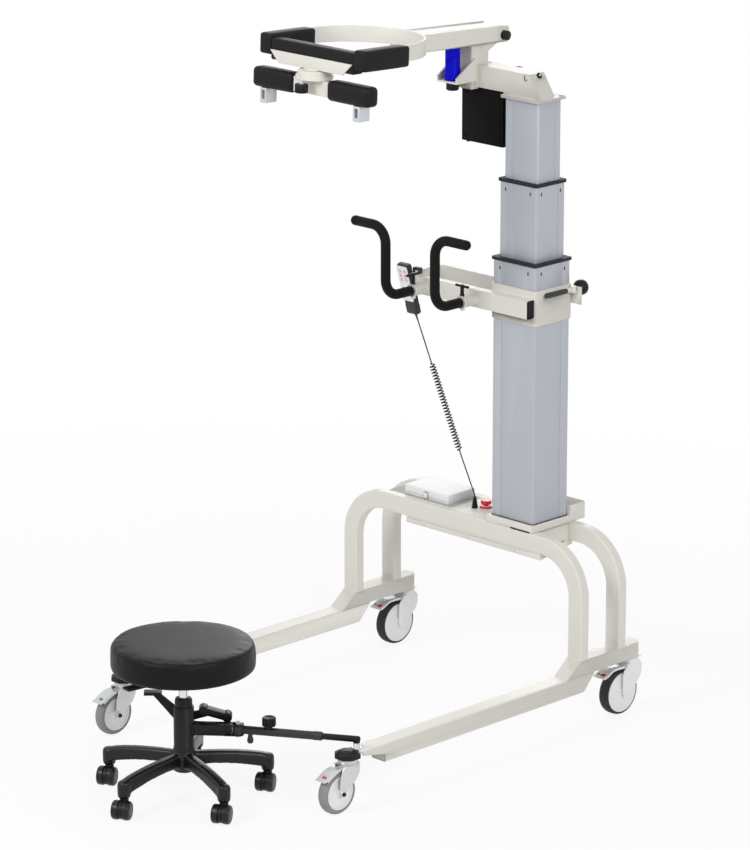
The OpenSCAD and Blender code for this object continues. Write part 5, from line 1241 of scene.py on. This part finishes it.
@dataclass
class Cushion:
    """The stool's round seat cushion, blown up by cloth simulation under its cover."""

    centre: tuple[float, float] = (50, -521)
    r: float = 187
    z: tuple[float, float] = (343.4, 416)
    swell: float = 4
    voxel: float = 5
    ironing: int = 24
    slack: float = 0.3
    pressure: float = 2.5
    stiffness: float = 60
    frames: int = 20
    fold_z: float = 50
    fold_w: float = 6.5

    def build(self) -> None:
        """Builds, swells and creases the cushion."""
        r, (z0, z1) = self.r, self.z
        h = z1 - z0
        profile = [(0, 0.5), (r - 14, 0.5), (r - 8, 1.6), (r - 3.4, 4.4), (r - 1.4, 9), (r - 0.8, 16), (r - 0.6, 30),
                   (r - 0.8, h - 14), (r - 1.6, h - 8.5), (r - 3.6, h - 4.6), (r - 7.4, h - 2.2), (r - 14, h - 1.4),
                   (r * 0.5, h - 0.8), (0, h - 0.6)]
        form = turned(profile, shifted(*self.centre, z0), steps=72)
        form = fused(form, self.voxel, 1)
        form = self.blown(form)
        bmesh.ops.subdivide_edges(form.bm, edges=form.bm.edges, cuts=1, use_grid_fill=True, smooth=0.6)
        form.shape(self.creased)
        piece = form.done("round_seat_cushion", "seat", [VINYL], ["stool_cushion"], 180)

    def blown(self, form: Form) -> Form:
        """Returns the cushion after cloth simulation with pressure inside, its foot held."""
        mesh = form.scaled(MM).mesh("spare")
        piece = added("spare", mesh)
        foot = piece.vertex_groups.new(name="foot")
        low = (self.z[0] + 3) * MM
        foot.add([v.index for v in mesh.vertices if v.co.z < low], 1.0, "REPLACE")
        before = [v.co.copy() for v in mesh.vertices]
        cloth = piece.modifiers.new("cloth", "CLOTH")
        made = cloth.settings
        made.use_pressure, made.uniform_pressure_force = True, self.pressure
        made.effector_weights.gravity = 0.0
        made.vertex_group_mass = "foot"
        made.tension_stiffness = made.compression_stiffness = self.stiffness
        scene = bpy.context.scene
        scene.frame_start, scene.frame_end = 1, self.frames
        for step in range(1, self.frames + 1):
            scene.frame_set(step)
        after = piece.evaluated_get(bpy.context.evaluated_depsgraph_get()).to_mesh()
        most = self.swell * MM
        steps = [new.co - old for old, new in zip(before, after.vertices)]
        steps = [step if step.length < most else step.normalized() * most for step in steps]
        smooth = self.ironed(mesh, steps)
        for vert, old, rough, even in zip(mesh.vertices, before, steps, smooth):
            vert.co = old + even.lerp(rough, self.slack)
        scene.frame_set(1)
        grown = Form()
        grown.bm.from_mesh(mesh)
        grown.scaled(1 / MM)
        bpy.data.objects.remove(piece)
        bpy.data.meshes.remove(mesh)
        return grown

    def ironed(self, mesh: bpy.types.Mesh, steps: list[Vector]) -> list[Vector]:
        """Returns the steps evened out among neighbouring points."""
        pairs = [tuple(edge.vertices) for edge in mesh.edges]
        for _ in range(self.ironing):
            total, count = [step.copy() for step in steps], [1] * len(steps)
            for a, b in pairs:
                total[a] += steps[b]
                total[b] += steps[a]
                count[a] += 1
                count[b] += 1
            steps = [whole / many for whole, many in zip(total, count)]
        return steps

    def creased(self, co: Vector) -> Vector:
        """Presses the seam in and wrinkles the cover where it turns over the rim."""
        dx, dy = co.x - self.centre[0], co.y - self.centre[1]
        reach = math.hypot(dx, dy)
        if reach < 1:
            return co
        angle = math.atan2(dy, dx)
        rim = math.exp(-(((co.z - self.z[0] - self.fold_z) / self.fold_w) ** 2)) * (1 if reach > self.r - 22 else 0)
        noisy = noise.noise(Vector((math.cos(angle) * 9, math.sin(angle) * 9, co.z * 0.11)))
        fine = noise.noise(Vector((math.cos(angle) * 26, math.sin(angle) * 26, co.z * 0.3)))
        push = rim * (0.9 * noisy + 0.55 * fine)
        broad = noise.noise(Vector((co.x * 0.012, co.y * 0.012, co.z * 0.02)))
        push += 0.9 * broad * (1 if reach > self.r - 30 else 0.4)
        out = Vector((dx / reach, dy / reach, 0.35 if co.z > self.z[0] + 40 else 0))
        return co + out * push


@dataclass
class Stool:
    """The therapist's stool: star base, twin-wheel casters, levers and the telescopic arm to the rail."""

    x: float = 50
    y: float = -521
    star_r: float = 218
    star_a: float = 56.5
    arms: int = 5
    col_r: float = 26.5
    col_top: float = 242
    hinge: tuple[float, float] = (157, -430)
    rail_pin: tuple[float, float] = (425, -268)
    arm_z: float = 182
    trail: float = 20
    trail_a: float = -61
    bolt_r: float = 62

    def build(self) -> None:
        """Builds the stool from its base to its arm."""
        self.base()
        at = shifted(self.x, self.y, 0)
        piston = turned([(0, 112), (12, 112), (12, 337), (11, 338), (0, 338)], at, steps=40)
        piston.done("gas_spring_piston", "seat_piston", [CHROME], ["stool_seat_post"])
        plate = from_frame("stool_seat_plate", 0.8)
        for a in (20, 110, 200, 290):
            c = math.radians(a)
            at = (self.x + self.bolt_r * math.cos(c), self.y + self.bolt_r * math.sin(c), 340.2)
            plate += hexagon(11, 5).put(upright((0, 0, -1), at))
        plate.done("seat_plate_and_hub", "seat", [BLACK_PAINT], ["stool_seat_plate"])
        for name, body, edge in (("height_paddle", "height_lever", 2.2), ("rocker_lever", "lock_lever", 2.6)):
            from_frame(f"stool_{body}", edge, segments=3).done(name, body, [BLACK], [f"stool_{body}"])
        for k in range(self.arms):
            self.caster(k)
        self.telescope()

    def base(self) -> None:
        """Builds the star, the column and the square arm with its clevis."""
        side = [(17, -0.5), (17.4, -0.36), (15, 0.22), (12.8, 0.4), (8, 0.5)]
        section = mirrored(side, 0)
        spine = ((14, 98, 44), (40, 100.5, 35), (70, 101, 32), (105, 99, 32), (140, 95.5, 33), (175, 90, 34.5),
                 (198, 85.5, 35), (212, 82, 34), (220, 80, 30))
        star = turned([(0, 66), (24, 66), (30, 70), (32, 84), (31, 104), (28.6, 120), (27.2, 130), (0, 130)], steps=48)
        for k in range(self.arms):
            turn = Matrix.Rotation(math.radians(self.star_a + 72 * k), 4, "Z")
            sizes = [(0.94 if r < 60 else 1, h) for r, _, h in spine]
            arm = swept(section, [(r, 0, z) for r, z, _ in spine], sizes=sizes)
            arm += turned([(0, 52), (14.6, 52), (16.4, 55), (17.4, 66), (17.4, 88), (15.4, 94), (10, 97.4), (0, 98.6)],
                          shifted(self.star_r, 0, 0), steps=32)
            star += arm.put(turn)
        star = fused(star, 2.4, 5)
        star.put(shifted(self.x, self.y, 0))
        r, top = self.col_r, self.col_top
        form = turned([(0, 120), (r + 1.6, 120), (r + 1.2, 132), (r, 134), (r, top - 2), (r - 1.4, top),
                       (23, top + 0.2), (22.6, top + 17), (20.6, top + 22), (18.4, top + 23), (12.3, top + 23),
                       (12.3, 150)], shifted(self.x, self.y, 0), 0, 48)
        hx, hy = self.hinge
        along = math.atan2(hy - self.y, hx - self.x)
        length = math.hypot(hx - self.x, hy - self.y)
        place = shifted(self.x, self.y, self.arm_z) @ Matrix.Rotation(along, 4, "Z")
        form += block((14, -15, -15), (length - 31, 15, 15), 2.6, segments=3).put(place)
        form += block((length - 34, -12, -11), (length - 16.4, 12, 11), 1.4).put(place)
        eye = place @ shifted(length, 0, 0)
        for s in (-1, 1):
            z0 = s * 13.25 - 1.75
            form += block((length - 36, -15, z0), (length, 15, z0 + 3.5), 0.8).put(place)
            form += rod(15, z0, z0 + 3.5, eye, steps=40)
        form += weld([place @ Vector((28, a, b)) for a, b in rounded(30, 30, 4) + rounded(30, 30, 4)[:1]], 4)
        bolt = rod(4.9, -19, 19, eye, 1, 24)
        bolt += hexagon(17, 6, 1).put(place @ shifted(length, 0, 15.2))
        bolt += turned([(0, 24), (3.4, 24), (4.2, 23), (4.2, 20)], eye, 1, 20)
        bolt += hexagon(17, 4, 1).put(place @ upright((0, 0, -1), (length, 0, -15.2)))
        form += bolt
        star.done("star_base", "stool_stand", [NYLON], ["stool_base"], 60)
        form.done("stool_column_and_bracket", "stool_stand", [BLACK_PAINT, ZINC])

    def caster(self, k: int) -> None:
        """Builds one twin-wheel caster with its hood."""
        a = math.radians(self.star_a + 72 * k)
        behind = Matrix.Rotation(math.radians(self.trail_a), 4, "Z")
        at = shifted(self.x + self.star_r * math.cos(a), self.y + self.star_r * math.sin(a), 0) @ behind
        form = turned([(0, 30), (11.6, 30), (11.6, 49), (10.4, 51), (5, 51.2), (5, 85), (0, 85)], steps=28)
        hub = turned([(0, -6.4), (22, -6.4), (23, -5), (23, 5), (22, 6.4), (0, 6.4)],
                     upright((0, 1, 0), (self.trail, 0, 25)), steps=48)
        hub += block((-9, -5.6, 26), (15, 5.6, 45), 3)
        form += hub
        for s in (-1, 1):
            face = [(0, 9.4), (9, 9.2), (16, 8.4), (17.2, 7.4), (18.2, 7.4), (19.2, 8.4), (22, 7.8), (24, 6), (25, 3),
                    (25, -7.6), (24.2, -8.8), (22, -9), (0, -9)]
            form += turned(face, upright((0, s, 0), (self.trail, s * 15.4, 25)), 1, 48)
        form.put(at).done(f"twin_wheel_caster_{k + 1}", f"stool_caster_{k + 1}", [BLACK, NYLON],
                          [f"stool_caster_{k + 1}"], 32)

    def telescope(self) -> None:
        """Builds the telescopic arm: outer tube with its pin handle, inner rod and clamp knob."""
        (hx, hy), (px, py) = self.hinge, self.rail_pin
        length = math.hypot(px - hx, py - hy)
        place = shifted(hx, hy, self.arm_z) @ Matrix.Rotation(math.atan2(py - hy, px - hx), 4, "Z")
        run = place @ upright((1, 0, 0))
        tube = turned([(8.6, 12), (10.4, 12), (11, 13), (11, 221.6), (10.2, 223), (8.7, 223), (8.7, 60)], run, 0, 40)
        tube += turned([(11, 200), (11.8, 201), (11.8, 221), (11, 222)], run, 0, 40)
        tube += turned([(5.1, -11), (14, -11), (15, -10), (15, 10), (14, 11), (5.1, 11), (5.1, -11)], place, 0, 40)
        tube += turned([(0, -35.6), (4.6, -35), (7.6, -32), (8.4, -27), (7.8, -22), (6.2, -18), (5.6, -8), (0, -8)],
                       place @ shifted(32, 0, 0), 0, 28)
        tube += turned([(8.2, 11), (9, 11.6), (9, 13), (4.1, 13), (4.1, 9)], place @ shifted(82, 0, 0), 0, 32)
        tube.done("telescope_outer_tube", "stool_tube", [SLEEVE], ["stool_arm_tube"])
        inner = turned([(0, 58), (8.4, 58), (8.4, length + 3), (7.6, length + 7), (5, length + 9.4), (0, length + 10)],
                       run, 0, 36)
        inner += turned([(0, -10), (8, -10), (9, -9), (9, 0), (0, 0)], place @ shifted(length, 0, 0), 0, 36)
        inner.done("telescope_inner_rod", "stool_rod", [BLACK], ["stool_arm_rod"])
        grip = knob(36, 24, 10).put(place @ shifted(82, 0, 16))
        grip += turned([(0, 9), (4, 9), (4, 12), (7.8, 12.4), (7.8, 16.4), (0, 16.4)], place @ shifted(82, 0, 0), 0, 28)
        grip.done("arm_clamp_knob", "stool_clamp_knob", [BLACK], ["stool_arm_knob"])


@dataclass
class Handset:
    """The pendant control on the bracket, and its curly cord to the deck."""

    foot: tuple[float, float, float] = (-176.4, 556, 1046)
    lean: float = 16
    w: float = 42
    t: float = 20
    length: float = 150
    key_d: float = 8
    cord_d: float = 3.5
    curl_r: float = 7.5
    turns: int = 30
    per_turn: int = 14
    top: tuple[float, float, float] = (-168, 562, 1024)
    curl_a: tuple[float, float, float] = (-132, 575, 916)
    curl_b: tuple[float, float, float] = (-48, 606, 664)
    bend_at: tuple[float, float, float] = (-11, 619, 562)
    gland: tuple[float, float, float] = (-7, 621, 547)

    def cord_path(self) -> list[Vector]:
        """Returns the cord's centreline from the handset's relief to the gland."""
        top, a, b = Vector(self.top), Vector(self.curl_a), Vector(self.curl_b)
        axis = (b - a).normalized()
        u = axis.cross(Vector((0, 1, 0))).normalized()
        v = axis.cross(u)
        steps, lead = self.turns * self.per_turn, self.cord_d
        run = (b - a).length - 2 * lead - 4
        points = [top.lerp(a, k / 14) for k in range(14)] + [a, a + axis * lead]
        for i in range(1, steps):
            spread = self.curl_r * min(1, min(i, steps - i) / self.per_turn)
            angle = 2 * math.pi * i / self.per_turn
            out = (u * math.cos(angle) + v * math.sin(angle)) * spread
            points.append(a + axis * (lead + 2 + run * i / steps) + out)
        corner, end = Vector(self.bend_at), Vector(self.gland)
        points += [b - axis * lead, b] + [b.lerp(corner, k / 12) for k in range(1, 13)]
        return points + [corner + Vector((2.6, 1, -9)), end + Vector((0, 0, lead)), end]

    def cord(self) -> None:
        """Builds the cord between the deck and the carriage, and takes it off its body."""
        path = self.cord_path()
        form = swept(ring(self.cord_d / 2, 10), path)
        piece = form.done("curly_cord", "carriage", [JACKET], ["handset_cord_curl", "handset_cord_leads"], 60)
        length = sum((q - p).length for p, q in zip(path, path[1:]))
        stretched(piece, self.gland, self.top)
        [c * MM for c in self.top]
        [p * MM for p in path]

    def build(self) -> None:
        """Builds the handset, its keys and its hook."""
        w, t, n = self.w, self.t, self.length
        place = Matrix.Translation(self.foot) @ Matrix.Rotation(math.radians(self.lean), 4, "X")
        sizes = [(0.84, 0.7), (0.93, 0.9), (0.97, 0.98), (0.97, 1), (0.94, 0.94), (0.96, 0.96), (1, 1), (0.96, 0.9),
                 (0.86, 0.7)]
        body = swept(rounded(w, t, 5), [(0, 0, z) for z in (0, 1.2, 4, 26, 30, 90, n - 8, n - 2, n)], sizes=sizes,
                     up=(0, 1, 0))
        front = shifted(0, -t / 2 + 0.1, 41 + (n - 44) / 2) @ quarter("X")
        body += slab(rounded(w - 2, n - 44, 6), 0, 1.7, 0.5, 1, place=front)
        for row in range(2):
            line = shifted(0, -t / 2 - 1.3, 60 + row * 22) @ quarter("X")
            body += slab(rounded(24, 1.6, 0.7), 0, 0.3, skin=2, place=line)
        body.put(place)
        x = self.foot[0] + w / 2
        body += block((x - 12, 540, 1172.4), (x + 11.8, 554, 1178.4), 1.2)
        body += block((x + 7.8, 540, 1162), (x + 11.8, 554, 1174.4), 1.2)
        body += block((x - 14, 541, 1160), (x - 4, 553, 1176), 2)
        relief = [Vector((-176, 559, 1047)).lerp(Vector(self.top), k / 12) for k in range(-2, 13)]
        ribs = [(1 - 0.035 * k) * (1.0 if k % 2 else 0.86) for k in range(15)]
        body += swept(ring(4, 16), relief, sizes=[(s, s) for s in ribs])
        body.done("pendant_handset", "carriage", [GREY, BOX_WHITE, GREY], ["handset"], 40)
        keys = Form()
        r = self.key_d / 2
        for i in range(3):
            for s in (-1, 1):
                at = place @ upright((0, -1, 0), (s * 9, -t / 2 - 2.85, n - 18 - i * 13))
                keys += turned([(0, 0.9), (r * 0.4, 0.8), (r * 0.62, 0.6)], at, 0, 20)
                keys += turned([(r * 0.6, 0.6), (r * 0.9, 0.3), (r, -0.4), (r, -1.6), (0, -1.6)], at, 1, 20)
        keys.done("handset_key_caps", "keys", [BOX_WHITE, MAGENTA], ["handset_buttons"], 50)
        self.cord()


@dataclass
class Stage:
    """The pale floor, the studio lights and the camera."""

    camera_at: tuple[float, float, float] = (8.0044, -7.8337, 4.0663)
    azimuth: float = 44.8
    elevation: float = 15.9
    lens: float = 188.5
    sensor: float = 36
    reach: float = 60
    floor_half: float = 30
    lamps: tuple = (("key", (-0.6, -4.4, 4.2), 2.4, 128.0), ("side", (6.0, -1.4, 3.6), 2.2, 124.0),
                    ("top", (0.4, 0.2, 5.4), 3.0, 8.0), ("back", (-3.4, 4.6, 2.4), 2.6, 56.0))
    lit: tuple[float, float, float] = (0.1, 0.2, 1.2)
    ambient: float = 0.46

    def build(self) -> None:
        """Builds the stage."""
        scene = bpy.context.scene
        scene.view_settings.view_transform = "Standard"
        data = bpy.data.cameras.new("camera")
        data.lens, data.sensor_width, data.clip_end = self.lens, self.sensor, self.reach
        a, e = math.radians(self.azimuth), math.radians(self.elevation)
        back = Vector((math.sin(a) * math.cos(e), -math.cos(a) * math.cos(e), math.sin(e)))
        scene.camera = self.aimed("camera", data, self.camera_at, -back)
        for name, place, size, power in self.lamps:
            lamp = bpy.data.lights.new(name, "AREA")
            lamp.shape, lamp.size, lamp.energy = "DISK", size, power
            self.aimed(name, lamp, place, Vector(self.lit) - Vector(place))
        self.world()
        self.floor()

    def aimed(self, name: str, data: bpy.types.ID, place: Point, along: Vector) -> bpy.types.Object:
        """Returns a camera or lamp at a place, looking along a direction."""
        held = added(name, data)
        held.location = place
        held.rotation_mode = "QUATERNION"
        held.rotation_quaternion = along.to_track_quat("-Z", "Y")
        return held

    def seen(self, net: Net) -> Wire:
        """Returns 1 for rays from the camera, off metal or through glass."""
        path = net.tree.nodes.new("ShaderNodeLightPath")
        camera, glossy, through = (Wire(net, path.outputs[f"Is {n} Ray"]) for n in ("Camera", "Glossy", "Transmission"))
        seen = net.node("Math", {"operation": "MAXIMUM"}, {0: camera, 1: glossy})
        return net.node("Math", {"operation": "MAXIMUM"}, {0: seen, 1: through})

    def world(self) -> None:
        """Makes the world white to look at and plain as a light."""
        world = bpy.data.worlds.new("studio")
        bpy.context.scene.world = world
        net = cleared(world)
        strength = self.ambient + (1 - self.ambient) * self.seen(net)
        light = net.node("Background", {}, {"Color": (1, 1, 1, 1), "Strength": strength})
        net.close("OutputWorld", light)

    def floor(self) -> None:
        """Lays a pale floor that keeps a soft shadow and fades to white away from the object."""
        bm = bmesh.new()
        bmesh.ops.create_grid(bm, x_segments=4, y_segments=4, size=self.floor_half)
        mesh = bpy.data.meshes.new("floor")
        bm.to_mesh(mesh)
        bm.free()
        added("floor", mesh)
        made = bpy.data.materials.new("pale_floor")
        net = cleared(made)
        place = net.node("TexCoord", output="Object")
        reach = net.node("VectorMath", {"operation": "LENGTH"}, {0: place}, "Value")
        far = net.clamped(reach, 0.45, -0.55)
        speck = net.node("TexNoise", {}, {"Vector": place, "Scale": 60.0, "Detail": 4.0})
        pale = net.mix(speck, (0.9, 0.9, 0.9, 1), (0.93, 0.93, 0.93, 1))
        matte = net.node("BsdfDiffuse", {}, {"Color": pale})
        glow = net.node("Emission", {}, {"Color": (1, 1, 1, 1), "Strength": 1.0})
        share = self.seen(net) * (0.88 + 0.12 * far)
        mixed = net.node("MixShader", {}, {0: share, 1: matte, 2: glow})
        net.close("OutputMaterial", mixed)
        mesh.materials.append(made)


def main() -> None:
    """Builds the stage and every part."""
    logging.basicConfig(level=logging.INFO, format="%(name)s %(message)s")
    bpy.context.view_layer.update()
    Stage().build()
    Handset().build()
    parts = [Chassis(), Deck(), Column(), Beam(), Yoke(), Carriage(), Cushion(), Stool()]
    parts += [Caster(side, (s * RAIL_X, REAR_Y)) for side, s in SIDES]
    parts += [FrontCaster(side, (s * RAIL_X, FRONT_Y)) for side, s in SIDES]
    for part in parts:
        LOG.info("%s", type(part).__name__)
        part.build()


if __name__ == "__main__":
    main()
